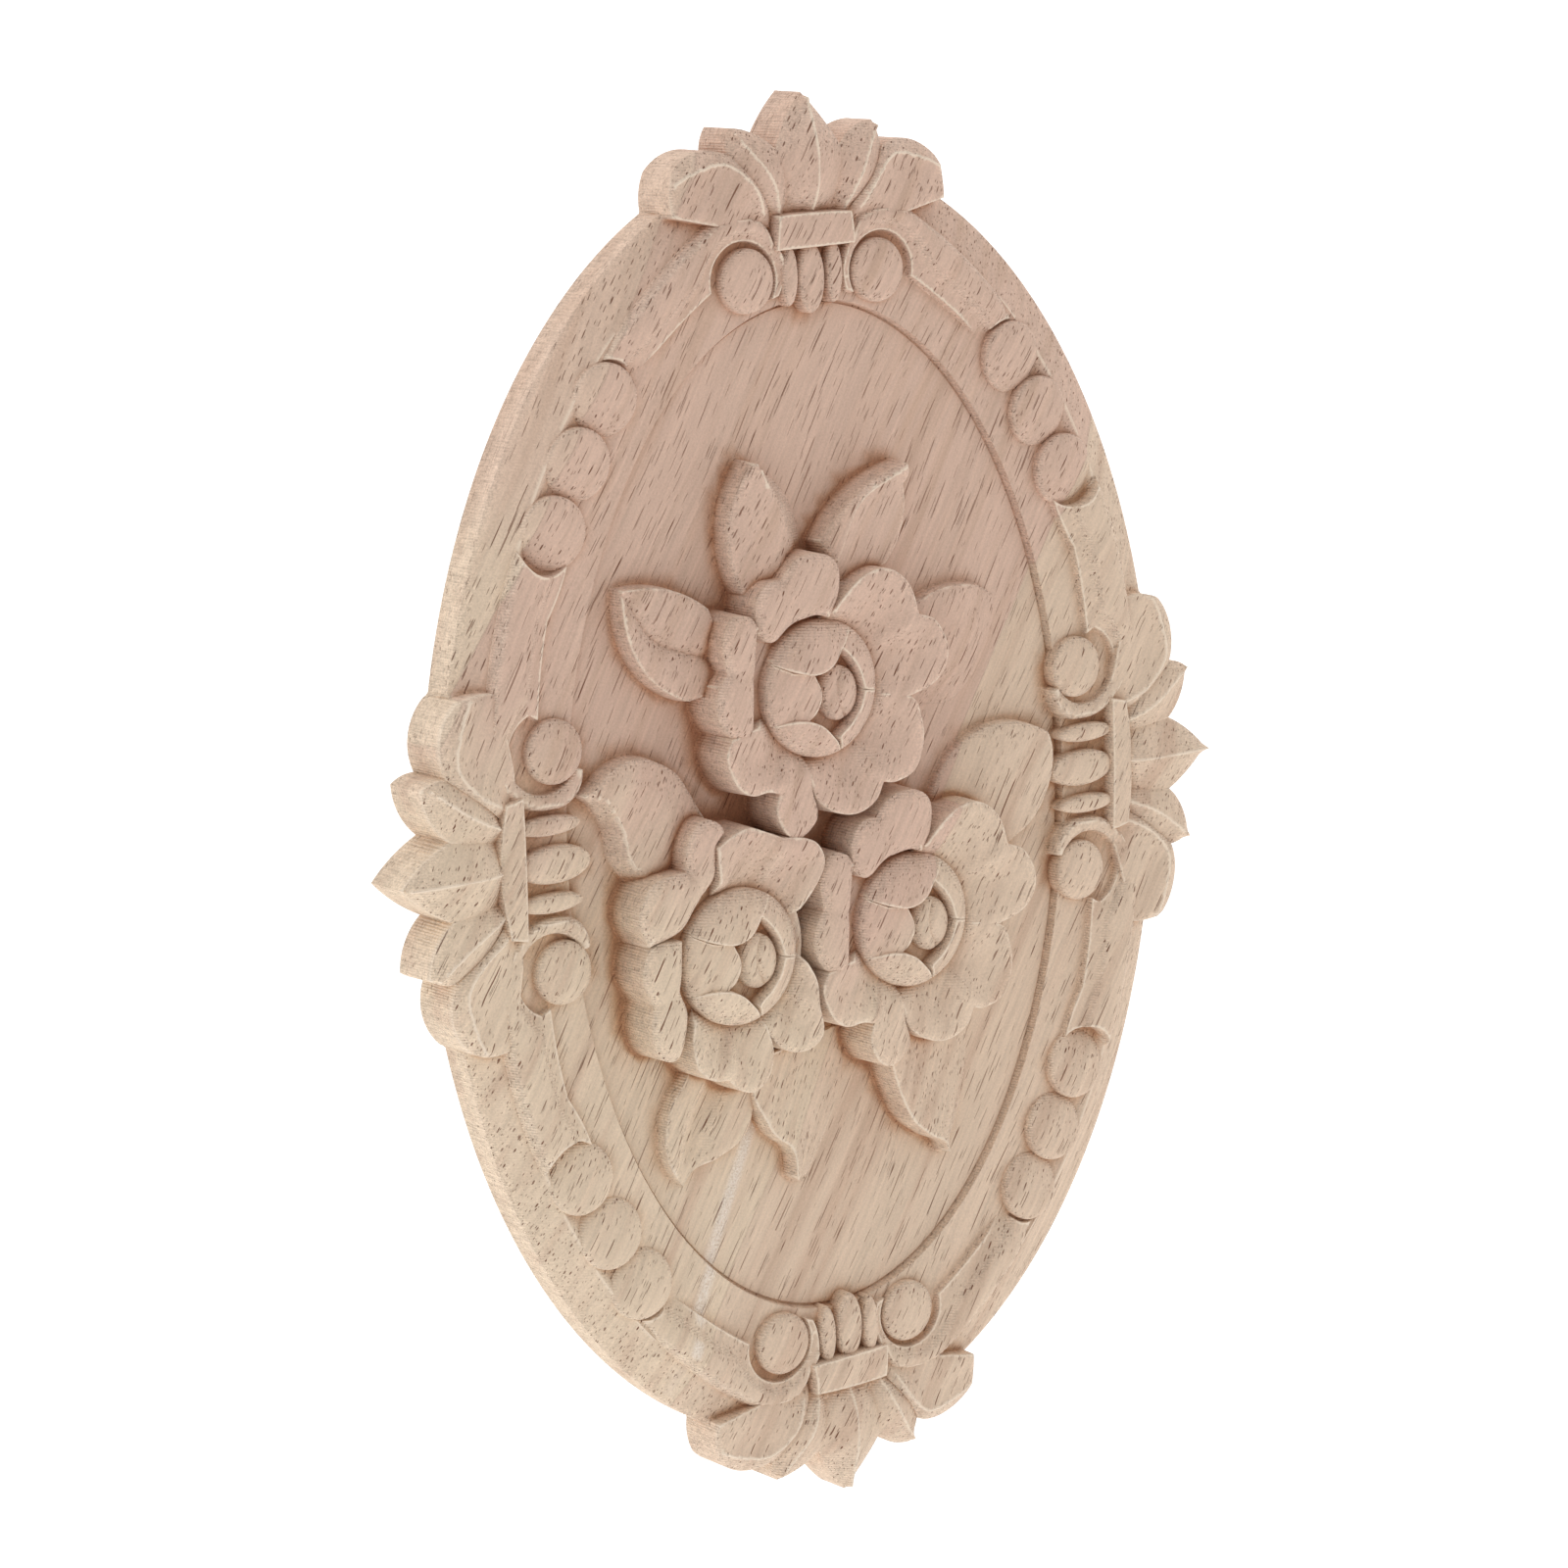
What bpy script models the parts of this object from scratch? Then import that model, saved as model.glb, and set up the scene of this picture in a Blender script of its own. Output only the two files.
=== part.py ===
"""Oval wooden applique, carved from one glued-up board: a scrolled border with a palmette at each
end of both axes, and a spray of three open roses with leaves on the sunk oval field.

Millimetres in the tables below, metres in the scene. X is to the right and Z up along the long axis.
The planed back lies in the plane Y = 0, and the carved face looks towards -Y."""

import itertools
import math

import bmesh
import bpy
import numpy as np
from mathutils import Matrix, Vector

MM = 0.001

# Board: outline, thickness at its edge, crest of the rim, and the levels of the carved ground
BOARD_A, BOARD_B = 68.6, 100.4
EDGE_H = 5.3
CREST_A, CREST_B = 63.0, 93.4
CREST_H, CREST_DROP = 7.9, 0.975
BORDER_H = 7.0
FIELD_A, FIELD_B = 47.7, 79.0
FIELD_H = 5.8
BOARD_SIDES = 64
FIELD_SIDES = 48
# Depth that every piece is carried below the back before the back is planed flat
STOCK = 2.0
# Each piece of relief is rooted inside the board, no two of them at one depth
ROOT_DEPTHS = itertools.count()

# Border, one quarter: x, z and half width along each scroll, from its curl to its bead
EYES = ((12.3, 82.5, 5.0), (50.0, 16.6, 5.0))
BEADS = ((38.5, 66.9, 5.3), (43.65, 58.0, 5.2), (48.6, 48.3, 5.4))
END_SCROLL = ((6.5, 81.0, 0.5), (7.2, 87.4, 1.0), (12.6, 90.2, 2.0), (18.3, 88.2, 3.0),
              (24.0, 83.4, 4.2), (30.4, 78.2, 4.0), (36.4, 71.0, 3.4))
SIDE_SCROLL = ((45.3, 13.6, 0.5), (49.5, 9.4, 1.3), (56.4, 11.8, 1.8), (58.9, 19.4, 2.6),
               (56.6, 30.0, 4.3), (54.0, 38.6, 4.6), (51.4, 45.0, 4.4))
SCROLL_EDGE_H, SCROLL_CREST_H = 8.1, 9.7
EYE_H, BEAD_H = 9.2, 9.7

# Clasps: how far from the middle each begins, and its half width across the axis
CLASP_TOP, CLASP_SIDE = 86.9, 56.4
CLASP_DEPTH, CLASP_H = 4.0, 9.8
CLASP_HALF_TOP, CLASP_HALF_SIDE = 7.2, 9.8
# Ribs under a clasp: offset across the axis, half width, reach towards the middle
RIBS_TOP = ((-4.6, 1.5, 8.4), (-0.4, 2.4, 9.8), (3.8, 1.5, 8.4))
RIBS_SIDE = ((-5.8, 1.4, 9.4), (0.0, 2.7, 11.0), (5.8, 1.4, 9.4))
RIB_EDGE_H, RIB_CREST_H = 7.9, 9.2

# Leaf outlines. base and tip in mm, bow is the axis's swing to its left, left and right are the
# half widths where the leaf is widest, at the fraction wide of its length; root and end are the
# fractions of that width left at its two ends, and heights are those of its left edge, middle
# and right edge there. tip_h is the height at the tip, and sink is how much lower the root lies.
PALMETTE_LEAVES = (
    dict(base=(-1.0, 0.0), tip=(18.1, 0.0), bow=0.0, left=5.9, right=5.9, wide=0.5, root=0.8,
         end=0.0, point=1.0, heights=(8.7, 10.6, 8.7), tip_h=9.4, sink=1.9),
    dict(base=(-1.0, 6.0), tip=(13.4, 14.2), bow=-0.6, left=3.6, right=3.4, wide=0.5, root=0.5,
         end=0.1, point=0.55, heights=(8.8, 10.2, 8.8), tip_h=9.6, sink=1.65),
    dict(base=(0.6, 7.0), tip=(4.2, 27.4), bow=0.0, left=4.8, right=5.2, wide=0.4, root=0.6,
         end=0.15, point=0.35, heights=(9.2, 9.2, 10.4), tip_h=9.6, sink=1.5),
)
PALMETTE_TOP, PALMETTE_SIDE = 92.2, 59.6
PALMETTE_TOP_SCALE = 0.95

# Roses: centre of each, and the two lobes (x, z, radius) of each outer petal as seen from there,
# with how far the notch between the lobes stands out, and the petal's height near the heart
ROSE_PETALS = (
    dict(lobes=((-14.0, 8.9, 4.3), (-15.0, -0.6, 4.3)), notch=2.4, inner=12.6, heart_h=14.4),
    dict(lobes=((-7.5, 13.4, 4.2), (0.5, 16.4, 4.3)), notch=2.4, inner=12.0, heart_h=14.0),
    dict(lobes=((12.5, 11.0, 5.8), (18.0, 3.2, 5.8)), notch=3.8, inner=9.0, heart_h=11.6),
    dict(lobes=((14.4, -10.1, 5.4), (4.2, -14.2, 5.3)), notch=3.6, inner=9.0, heart_h=11.2),
    dict(lobes=((-5.2, -17.9, 4.2), (-14.2, -10.1, 4.7)), notch=1.0, inner=9.0, heart_h=11.8),
)
LOWER_ROSE_PETALS = (
    dict(lobes=((-13.3, 8.9, 4.4), (-14.1, -0.3, 4.4)), notch=2.4, inner=12.4, heart_h=14.2),
    dict(lobes=((-5.8, 12.4, 4.6), (0.8, 15.5, 4.7)), notch=2.4, inner=9.0, heart_h=12.4),
    dict(lobes=((10.2, 11.8, 5.6), (12.5, 8.0, 5.0)), notch=3.0, inner=9.0, heart_h=12.0),
    dict(lobes=((11.0, -12.0, 4.5), (2.8, -14.2, 5.2)), notch=2.0, inner=9.0, heart_h=11.4),
    dict(lobes=((-5.5, -17.3, 4.2), (-13.6, -9.5, 4.7)), notch=1.0, inner=11.6, heart_h=13.8),
)
ROSES = (
    dict(centre=(-5.0, 20.6), flip=1, petals=ROSE_PETALS),
    dict(centre=(11.5, -18.0), flip=1, petals=ROSE_PETALS),
    dict(centre=(-21.3, -18.0), flip=-1, petals=LOWER_ROSE_PETALS),
)
PETAL_H = 14.2
HEART_R, HEART_RIM_H, HEART_TOP_H = 10.4, 12.8, 14.5
MOAT_R, MOAT_H = 13.2, 10.4
# Lips of the inner petals on the heart: start and end of each, its bow and its height
HEART_LIPS = (
    dict(base=(-9.4, 5.4), tip=(4.2, 5.2), bow=-1.6, half=1.7, top=15.2),
    dict(base=(4.4, 5.6), tip=(9.6, -0.9), bow=0.9, half=1.5, top=15.0),
    dict(base=(9.4, -2.0), tip=(1.4, -8.2), bow=-0.7, half=1.4, top=14.9),
    dict(base=(1.6, -8.4), tip=(-9.6, -4.4), bow=0.9, half=1.7, top=15.1),
)
BUD = (1.6, -0.6, 3.3, 15.0)

SPRAY_LEAVES = (
    dict(base=(-22.0, 28.6), tip=(-37.3, 38.9), bow=0.6, left=9.0, right=6.8, wide=0.45, root=0.75,
         end=0.0, point=0.6, heights=(9.7, 8.8, 9.0), tip_h=9.4),
    dict(base=(-9.0, 36.0), tip=(-13.6, 55.6), bow=0.8, left=6.6, right=7.0, wide=0.35, root=0.8,
         end=0.0, point=0.65, heights=(10.6, 11.3, 7.0), tip_h=10.6),
    dict(base=(4.0, 36.0), tip=(15.8, 53.2), bow=1.4, left=6.2, right=6.4, wide=0.4, root=0.85,
         end=0.15, point=0.65, heights=(10.8, 9.8, 8.0), tip_h=10.6),
    dict(base=(12.0, 22.0), tip=(34.4, 27.4), bow=0.5, left=8.8, right=8.6, wide=0.4, root=0.8,
         end=0.1, point=0.5, heights=(7.2, 8.0, 7.4), tip_h=6.4),
    dict(base=(-26.0, -3.0), tip=(-43.8, 8.6), bow=-2.0, left=6.4, right=9.6, wide=0.4, root=0.8,
         end=0.0, point=0.6, heights=(9.2, 9.2, 9.8), tip_h=9.0),
    dict(base=(26.0, -9.0), tip=(40.6, 9.0), bow=1.6, left=9.4, right=7.4, wide=0.55, root=0.7,
         end=0.2, point=0.5, heights=(9.8, 8.2, 6.6), tip_h=7.6),
    dict(base=(-22.0, -34.0), tip=(-28.0, -54.9), bow=-1.0, left=7.6, right=7.6, wide=0.4, root=0.9,
         end=0.0, point=0.7, heights=(6.6, 8.0, 8.0), tip_h=7.6),
    dict(base=(-8.6, -36.0), tip=(-8.2, -57.4), bow=1.6, left=6.0, right=6.4, wide=0.4, root=0.95,
         end=0.1, point=0.8, heights=(6.6, 8.6, 9.4), tip_h=9.2),
    dict(base=(15.4, -37.0), tip=(21.6, -58.6), bow=1.8, left=8.6, right=7.4, wide=0.4, root=0.9,
         end=0.12, point=0.75, heights=(7.0, 9.6, 11.0), tip_h=9.6),
)


def root_depth():
    """Height above the back of the next piece's buried base."""
    return 4.4 - 0.02 * next(ROOT_DEPTHS)


def point(x, z, h):
    """A place on the carving, from its place on the face and its height above the back."""
    return Vector((x * MM, -h * MM, z * MM))


def ellipse(a, b, sides):
    turn = [2 * math.pi * i / sides for i in range(sides)]
    return [(a * math.cos(t), b * math.sin(t)) for t in turn]


def solid(name, sections, collection, apex=None):
    """Skins closed sections of equal point count and caps both ends, the last one by an apex if given."""
    mesh = bmesh.new()
    rings = [[mesh.verts.new(p) for p in section] for section in sections]
    count = len(sections[0])
    for one, two in zip(rings, rings[1:]):
        for i in range(count):
            j = (i + 1) % count
            mesh.faces.new((one[i], one[j], two[j], two[i]))
    mesh.faces.new(rings[0])
    if apex is None:
        mesh.faces.new(rings[-1])
    else:
        top = mesh.verts.new(apex)
        for i in range(count):
            mesh.faces.new((rings[-1][i], rings[-1][(i + 1) % count], top))
    return finish(name, mesh, collection)


def is_warped(face):
    face.normal_update()
    middle = face.calc_center_median()
    return any(abs((v.co - middle).dot(face.normal)) > 0.002 * MM for v in face.verts)


def finish(name, mesh, collection):
    bmesh.ops.remove_doubles(mesh, verts=mesh.verts, dist=0.02 * MM)
    bmesh.ops.triangulate(mesh, faces=[f for f in mesh.faces if is_warped(f)])
    bmesh.ops.recalc_face_normals(mesh, faces=mesh.faces)
    data = bpy.data.meshes.new(name)
    mesh.to_mesh(data)
    mesh.free()
    made = bpy.data.objects.new(name, data)
    collection.objects.link(made)
    return made


def dome(name, x, z, radius, rim_h, top_h, collection, sides, turn=0.0):
    """A round boss with an upright side up to rim_h and a rounded top."""
    sections = []
    for spread, rise in ((1.0, None), (1.0, 0.0), (0.72, 0.75)):
        h = root_depth() if rise is None else rim_h + (top_h - rim_h) * rise
        ring = [turn + 2 * math.pi * i / sides for i in range(sides)]
        sections.append([point(x + radius * spread * math.cos(t), z + radius * spread * math.sin(t), h)
                         for t in ring])
    return solid(name, sections, collection, point(x, z, top_h))


def smooth_path(stations, steps):
    """Catmull-Rom curve through rows of numbers."""
    rows = np.array(stations, float)
    rows = np.vstack([2 * rows[0] - rows[1], rows, 2 * rows[-1] - rows[-2]])
    out = []
    for i in range(1, len(rows) - 2):
        a, b, c, d = rows[i - 1:i + 3]
        for k in range(steps):
            t = k / steps
            out.append(0.5 * (2 * b + (c - a) * t + (2 * a - 5 * b + 4 * c - d) * t ** 2
                              + (3 * b - a - 3 * c + d) * t ** 3))
    out.append(rows[-2])
    return np.array(out)


def scroll(name, stations, place, collection):
    """A bar of rounded section along its path, highest nearer its outer edge."""
    path = smooth_path(stations, 2)
    along = np.gradient(path[:, :2], axis=0)
    along /= np.linalg.norm(along, axis=1)[:, None]
    root_h = root_depth()
    sections = []
    for (x, z, half), (dx, dz) in zip(path, along):
        lift = min(half / 3.0, 1.0)
        crest = SCROLL_EDGE_H + (SCROLL_CREST_H - SCROLL_EDGE_H) * lift
        profile = ((-1.0, root_h), (-1.0, SCROLL_EDGE_H - 0.5), (-0.4, crest - 0.3), (0.35, crest),
                   (1.0, SCROLL_EDGE_H), (1.0, root_h))
        sections.append([place(x - dz * half * t, z + dx * half * t, h) for t, h in profile])
    return solid(name, sections, collection)


def leaf_width(s, leaf):
    """Half width as a fraction of the widest, at the fraction s of the leaf's length."""
    if s <= leaf["wide"]:
        back = (leaf["wide"] - s) / leaf["wide"]
        return 1 - (1 - leaf["root"]) * back ** 2
    forward = (s - leaf["wide"]) / (1 - leaf["wide"])
    return leaf["end"] + (1 - leaf["end"]) * (1 - forward ** 1.6) ** leaf["point"]


def bowed(base, tip, bow, s):
    """Point and unit direction on the axis from base to tip, which swings bow to its left."""
    run = Vector(tip) - Vector(base)
    side = Vector((-run.y, run.x)).normalized()
    at = Vector(base) + run * s + side * bow * 4 * s * (1 - s)
    return at, (run + side * bow * 4 * (1 - 2 * s)).normalized()


def leaf_solid(name, leaf, place, root_h, collection, stations=7):
    """A leaf with two facets that meet along its axis, on an upright side wall."""
    sections = []
    for i in range(stations):
        s = 0.985 * i / (stations - 1)
        at, along = bowed(leaf["base"], leaf["tip"], leaf["bow"], s)
        side = Vector((-along.y, along.x))
        width = leaf_width(s, leaf)
        toward_tip = max(0.0, (s - leaf["wide"]) / (1 - leaf["wide"])) ** 2
        toward_root = max(0.0, 1 - s / leaf["wide"]) ** 2
        sunk = leaf.get("sink", 0.0) * toward_root
        left_h, mid_h, right_h = (h + (leaf["tip_h"] - h) * toward_tip - sunk for h in leaf["heights"])
        left = at + side * leaf["left"] * width
        right = at - side * leaf["right"] * width
        sections.append([place(left.x, left.y, root_h), place(left.x, left.y, left_h),
                         place(at.x, at.y, mid_h), place(right.x, right.y, right_h),
                         place(right.x, right.y, root_h)])
    return solid(name, sections, collection)


def petal_reach(petal, steps):
    """Rows of angle and outer radius round a two-lobed petal, seen from the rose's centre."""
    lobes = petal["lobes"]
    middle = math.atan2(sum(z for _, z, _ in lobes), sum(x for x, _, _ in lobes))
    spans = []
    for x, z, r in lobes:
        turn = (math.atan2(z, x) - middle + math.pi) % (2 * math.pi) - math.pi
        spans.append((turn, math.asin(r / math.hypot(x, z))))
    low = min(turn - wide for turn, wide in spans)
    high = max(turn + wide for turn, wide in spans)
    between = sorted(turn for turn, _ in spans)
    (x1, z1, _), (x2, z2, _) = lobes
    rows = []
    for i in range(steps):
        turn = low + (high - low) * (0.5 - 0.499 * math.cos(math.pi * i / (steps - 1)))
        ux, uz = math.cos(middle + turn), math.sin(middle + turn)
        reach = 0.0
        for x, z, r in lobes:
            across = x * uz - z * ux
            if abs(across) <= r:
                reach = max(reach, x * ux + z * uz + math.sqrt(r * r - across * across))
        if between[0] < turn < between[1]:
            chord = (x1 * (z2 - z1) - z1 * (x2 - x1)) / (ux * (z2 - z1) - uz * (x2 - x1))
            reach = max(reach, chord + petal["notch"])
        rows.append((middle + turn, reach))
    return rows


def petal_solid(name, petal, centre, flip, collection):
    """A dished petal: full height at its lobed edge, its own height where it meets the heart."""
    root_h = root_depth()
    sections = []
    for angle, reach in petal_reach(petal, 10):
        ux, uz = math.cos(angle), flip * math.sin(angle)
        inner = min(petal["inner"], reach - 1.5)
        dip = (PETAL_H - petal["heart_h"]) * 0.45
        profile = ((inner, root_h), (reach, root_h), (reach, PETAL_H),
                   (inner + 0.5 * (reach - inner), PETAL_H - dip), (inner, petal["heart_h"]))
        sections.append([point(centre[0] + ux * r, centre[1] + uz * r, h) for r, h in profile])
    return solid(name, sections, collection)


def lip_solid(name, lip, centre, collection):
    """The turned-back lip of an inner petal, a ridge that fades out at both ends."""
    root_h = root_depth()
    sections = []
    for i in range(5):
        s = i / 4
        at, along = bowed(lip["base"], lip["tip"], lip["bow"], s)
        side = Vector((-along.y, along.x)) * lip["half"] * (0.35 + 0.65 * math.sin(math.pi * s))
        x, z = centre[0] + at.x, centre[1] + at.y
        top = lip["top"] - 1.6 * (1 - math.sin(math.pi * s))
        sections.append([point(x - side.x, z - side.y, root_h), point(x - side.x, z - side.y, top - 0.5),
                         point(x, z, top), point(x + side.x, z + side.y, top - 0.5),
                         point(x + side.x, z + side.y, root_h)])
    return solid(name, sections, collection)


def board(collection):
    """The oval board with its sloping rim, still thicker than the finished piece."""
    outer = ellipse(BOARD_A, BOARD_B, BOARD_SIDES)
    crest = ellipse(CREST_A, CREST_B, BOARD_SIDES)
    inner = ellipse(CREST_A * CREST_DROP, CREST_B * CREST_DROP, BOARD_SIDES)
    levels = ((outer, -STOCK), (outer, EDGE_H), (crest, CREST_H), (inner, BORDER_H))
    sections = [[point(x, z, h) for x, z in ring] for ring, h in levels]
    return solid("carved_oval_applique", sections, collection)


def quarter(sign_x, sign_z):
    """Places a point of the first quarter in another."""
    return lambda x, z, h: point(sign_x * x, sign_z * z, h)


def outward(reach, up_x, up_z, side, scale=1.0):
    """Places a point given as distance out from a clasp and distance to one side of its axis."""
    def place(u, w, h):
        u, w = reach + scale * u, side * scale * w
        return point(up_x * u + up_z * w, up_z * u + up_x * w, h)
    return place


def border(collection):
    for sign_x in (1, -1):
        for sign_z in (1, -1):
            name = f"quarter_{sign_x}_{sign_z}"
            scroll(name + "_end_scroll", END_SCROLL, quarter(sign_x, sign_z), collection)
            scroll(name + "_side_scroll", SIDE_SCROLL, quarter(sign_x, sign_z), collection)
            for i, (x, z, radius) in enumerate(EYES):
                dome(f"{name}_eye_{i}", sign_x * x, sign_z * z, radius, BORDER_H + 0.9, EYE_H, collection, 12)
            for i, (x, z, radius) in enumerate(BEADS):
                dome(f"{name}_bead_{i}", sign_x * x, sign_z * z, radius, BORDER_H + 0.9, BEAD_H, collection, 12)


def clasp(name, reach, half, ribs, up_x, up_z, collection):
    """A bar across the border with three ribs that run from under it towards the field."""
    place = outward(reach, up_x, up_z, 1)
    root_h = root_depth()
    ends = [place(u, w, root_h) for u, w in ((0, -half), (CLASP_DEPTH, -half * 0.9),
                                            (CLASP_DEPTH + 0.8, 0), (CLASP_DEPTH, half * 0.9), (0, half))]
    tops = [place(u, w, CLASP_H) for u, w in ((0.4, -half), (CLASP_DEPTH, -half * 0.9),
                                             (CLASP_DEPTH + 0.8, 0), (CLASP_DEPTH, half * 0.9), (0.4, half))]
    solid(name + "_bar", [ends, tops], collection)
    for i, (offset, wide, long) in enumerate(ribs):
        rib = dict(base=(0.6, offset), tip=(-long, offset), bow=0.0, left=wide, right=wide, wide=0.5,
                   root=0.9, end=0.1, point=0.5, heights=(RIB_EDGE_H, RIB_CREST_H, RIB_EDGE_H),
                   tip_h=RIB_EDGE_H)
        leaf_solid(f"{name}_rib_{i}", rib, place, root_depth(), collection, 5)


def palmette(name, reach, scale, up_x, up_z, collection):
    """Five leaves fanned out past the board's edge, two of them mirrored."""
    for side in (1, -1):
        place = outward(reach, up_x, up_z, side, scale)
        for i, leaf in enumerate(PALMETTE_LEAVES[1:]):
            root_h = -STOCK + 0.4 + 0.1 * i
            leaf_solid(f"{name}_leaf_{side}_{i}", leaf, place, root_h, collection)
    middle = outward(reach, up_x, up_z, 1)
    leaf_solid(name + "_middle_leaf", PALMETTE_LEAVES[0], middle, -STOCK + 0.2, collection)


def rose(name, spec, collection):
    x, z = spec["centre"]
    for i, petal in enumerate(spec["petals"]):
        petal_solid(f"{name}_petal_{i}", petal, spec["centre"], spec["flip"], collection)
    ring = ellipse(MOAT_R, MOAT_R, 14)
    levels = (root_depth(), MOAT_H)
    solid(name + "_moat", [[point(x + a, z + b, h) for a, b in ring] for h in levels], collection)
    dome(name + "_heart", x, z, HEART_R, HEART_RIM_H, HEART_TOP_H, collection, 16, 0.1)
    for i, lip in enumerate(HEART_LIPS):
        lip_solid(f"{name}_lip_{i}", lip, spec["centre"], collection)
    bud_x, bud_z, radius, top = BUD
    dome(name + "_bud", x + bud_x, z + bud_z, radius, HEART_TOP_H - 0.2, top, collection, 8, 0.2)


def wood():
    """Raw rubberwood."""
    material = bpy.data.materials.new("raw_rubberwood")
    material.use_nodes = True
    shader = material.node_tree.nodes["Principled BSDF"]
    shader.inputs["Base Color"].default_value = (0.62, 0.44, 0.31, 1.0)
    shader.inputs["Roughness"].default_value = 0.75
    shader.inputs["Metallic"].default_value = 0.0
    return material


def boolean(target, operation, tools):
    cut = target.modifiers.new(operation.lower(), "BOOLEAN")
    cut.operation = operation
    cut.solver = "EXACT"
    if isinstance(tools, bpy.types.Collection):
        cut.operand_type = "COLLECTION"
        cut.collection = tools
    else:
        cut.object = tools


def new_collection(name, hidden):
    made = bpy.data.collections.new(name)
    bpy.context.scene.collection.children.link(made)
    made.hide_render = hidden
    return made


def main():
    for old in list(bpy.data.objects):
        bpy.data.objects.remove(old)
    finished = new_collection("carved_applique", False)
    relief = new_collection("relief_pieces", True)
    cutters = new_collection("cutters", True)

    applique = board(finished)
    border(relief)
    for up in (1, -1):
        clasp(f"clasp_end_{up}", CLASP_TOP, CLASP_HALF_TOP, RIBS_TOP, 0, up, relief)
        clasp(f"clasp_side_{up}", CLASP_SIDE, CLASP_HALF_SIDE, RIBS_SIDE, up, 0, relief)
        palmette(f"palmette_end_{up}", PALMETTE_TOP, PALMETTE_TOP_SCALE, 0, up, relief)
        palmette(f"palmette_side_{up}", PALMETTE_SIDE, 1.0, up, 0, relief)
    for i, spec in enumerate(ROSES):
        rose(f"rose_{i}", spec, relief)
    for i, leaf in enumerate(SPRAY_LEAVES):
        leaf_solid(f"spray_leaf_{i}", leaf, point, root_depth(), relief)

    field = ellipse(FIELD_A, FIELD_B, FIELD_SIDES)
    sink = solid("field_cutter", [[point(x, z, h) for x, z in field] for h in (FIELD_H, 20.0)], cutters)
    stock = ellipse(90.0, 120.0, 12)
    plane = solid("back_cutter", [[point(x, z, h) for x, z in stock] for h in (-10.0, 0.0)], cutters)
    boolean(applique, "DIFFERENCE", sink)
    boolean(applique, "UNION", relief)
    boolean(applique, "DIFFERENCE", plane)
    applique.data.materials.append(wood())
    for helper in list(relief.objects) + list(cutters.objects):
        helper.hide_render = True
        helper.display_type = "WIRE"


main()
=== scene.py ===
"""Carved oval applique in raw rubberwood. Outlines and levels are in mm on the face of the board:
x to the right, y up along the long axis, h above the planed back."""
import math

import bpy
import numpy as np
from mathutils import Matrix, Vector
from mathutils.geometry import delaunay_2d_cdt


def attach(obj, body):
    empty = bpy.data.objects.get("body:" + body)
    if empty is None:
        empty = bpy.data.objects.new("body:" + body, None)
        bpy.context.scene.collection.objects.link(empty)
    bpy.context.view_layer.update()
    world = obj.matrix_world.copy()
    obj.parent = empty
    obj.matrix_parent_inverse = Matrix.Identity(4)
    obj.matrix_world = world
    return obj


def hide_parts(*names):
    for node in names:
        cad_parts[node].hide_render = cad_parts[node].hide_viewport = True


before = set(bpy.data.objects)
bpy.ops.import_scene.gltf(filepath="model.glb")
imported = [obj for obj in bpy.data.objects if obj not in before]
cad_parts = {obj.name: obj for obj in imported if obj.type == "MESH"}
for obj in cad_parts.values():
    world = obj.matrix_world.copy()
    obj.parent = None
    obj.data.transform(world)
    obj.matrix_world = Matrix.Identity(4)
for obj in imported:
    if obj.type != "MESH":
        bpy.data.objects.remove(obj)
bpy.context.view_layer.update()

MM = 0.001

# Board. The half axes of board and field, and the eyes and beads below, come from a least-squares fit
# to the photo, rounded.
BOARD_A, BOARD_B = 68.6, 100.4
CREST_A, CREST_B = 63.0, 93.4
FIELD_A, FIELD_B = 47.7, 79.0
EDGE_H, CREST_H, BORDER_H, FIELD_H = 5.3, 7.9, 7.0, 5.8
ROOT_H = 3.0
BOARD_SIDES = 420
# Spacing of points along outlines and over the tops of the blocks
STEP, TOP_GRID = 0.5, 0.62
# Spacing along creases, and how far other points stay off them
CREASE_STEP, CREASE_GAP = 0.45, 0.3
# How much of a top edge is broken at the most
CHIP = 0.16

# Corners run clockwise as (x, y, bulge); a positive bulge swells the outline
END_SCROLL = ((6.4, 80.0, 1.0), (7.0, 87.5, 0.3), (9.5, 91.2, 1.6), (20.5, 89.8, 1.0), (39.2, 72.8, -1.6),
              (33.2, 69.6, -0.5), (18.8, 81.2, -8.2), (7.6, 79.6, 0.0))
SIDE_SCROLL = ((55.0, 46.5, 1.0), (61.5, 21.0, 1.2), (58.3, 11.2, 1.0), (50.5, 8.3, 1.6),
               (45.2, 13.2, 0.0), (46.3, 13.6, -8.6), (54.0, 22.6, 0.0), (52.6, 21.8, -0.3),
               (50.2, 36.0, 0.3), (46.4, 43.6, -2.5))
EYES = ((12.3, 82.5, 4.9), (50.0, 16.6, 4.9))
BEADS = ((38.4, 67.1, 5.6), (43.6, 58.1, 5.6), (48.5, 48.5, 5.7))
EYE_FORM = {"Rim height": 7.7, "Dome height": 9.4, "Tilt": 0.0, "Fullness": 0.75}
BEAD_FORM = {"Rim height": 7.35, "Dome height": 9.0, "Tilt": 0.85, "Fullness": 0.7}
RIB_FORM = {"Rim height": 7.5, "Dome height": 9.3, "Tilt": 0.0, "Fullness": 0.55}


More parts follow.
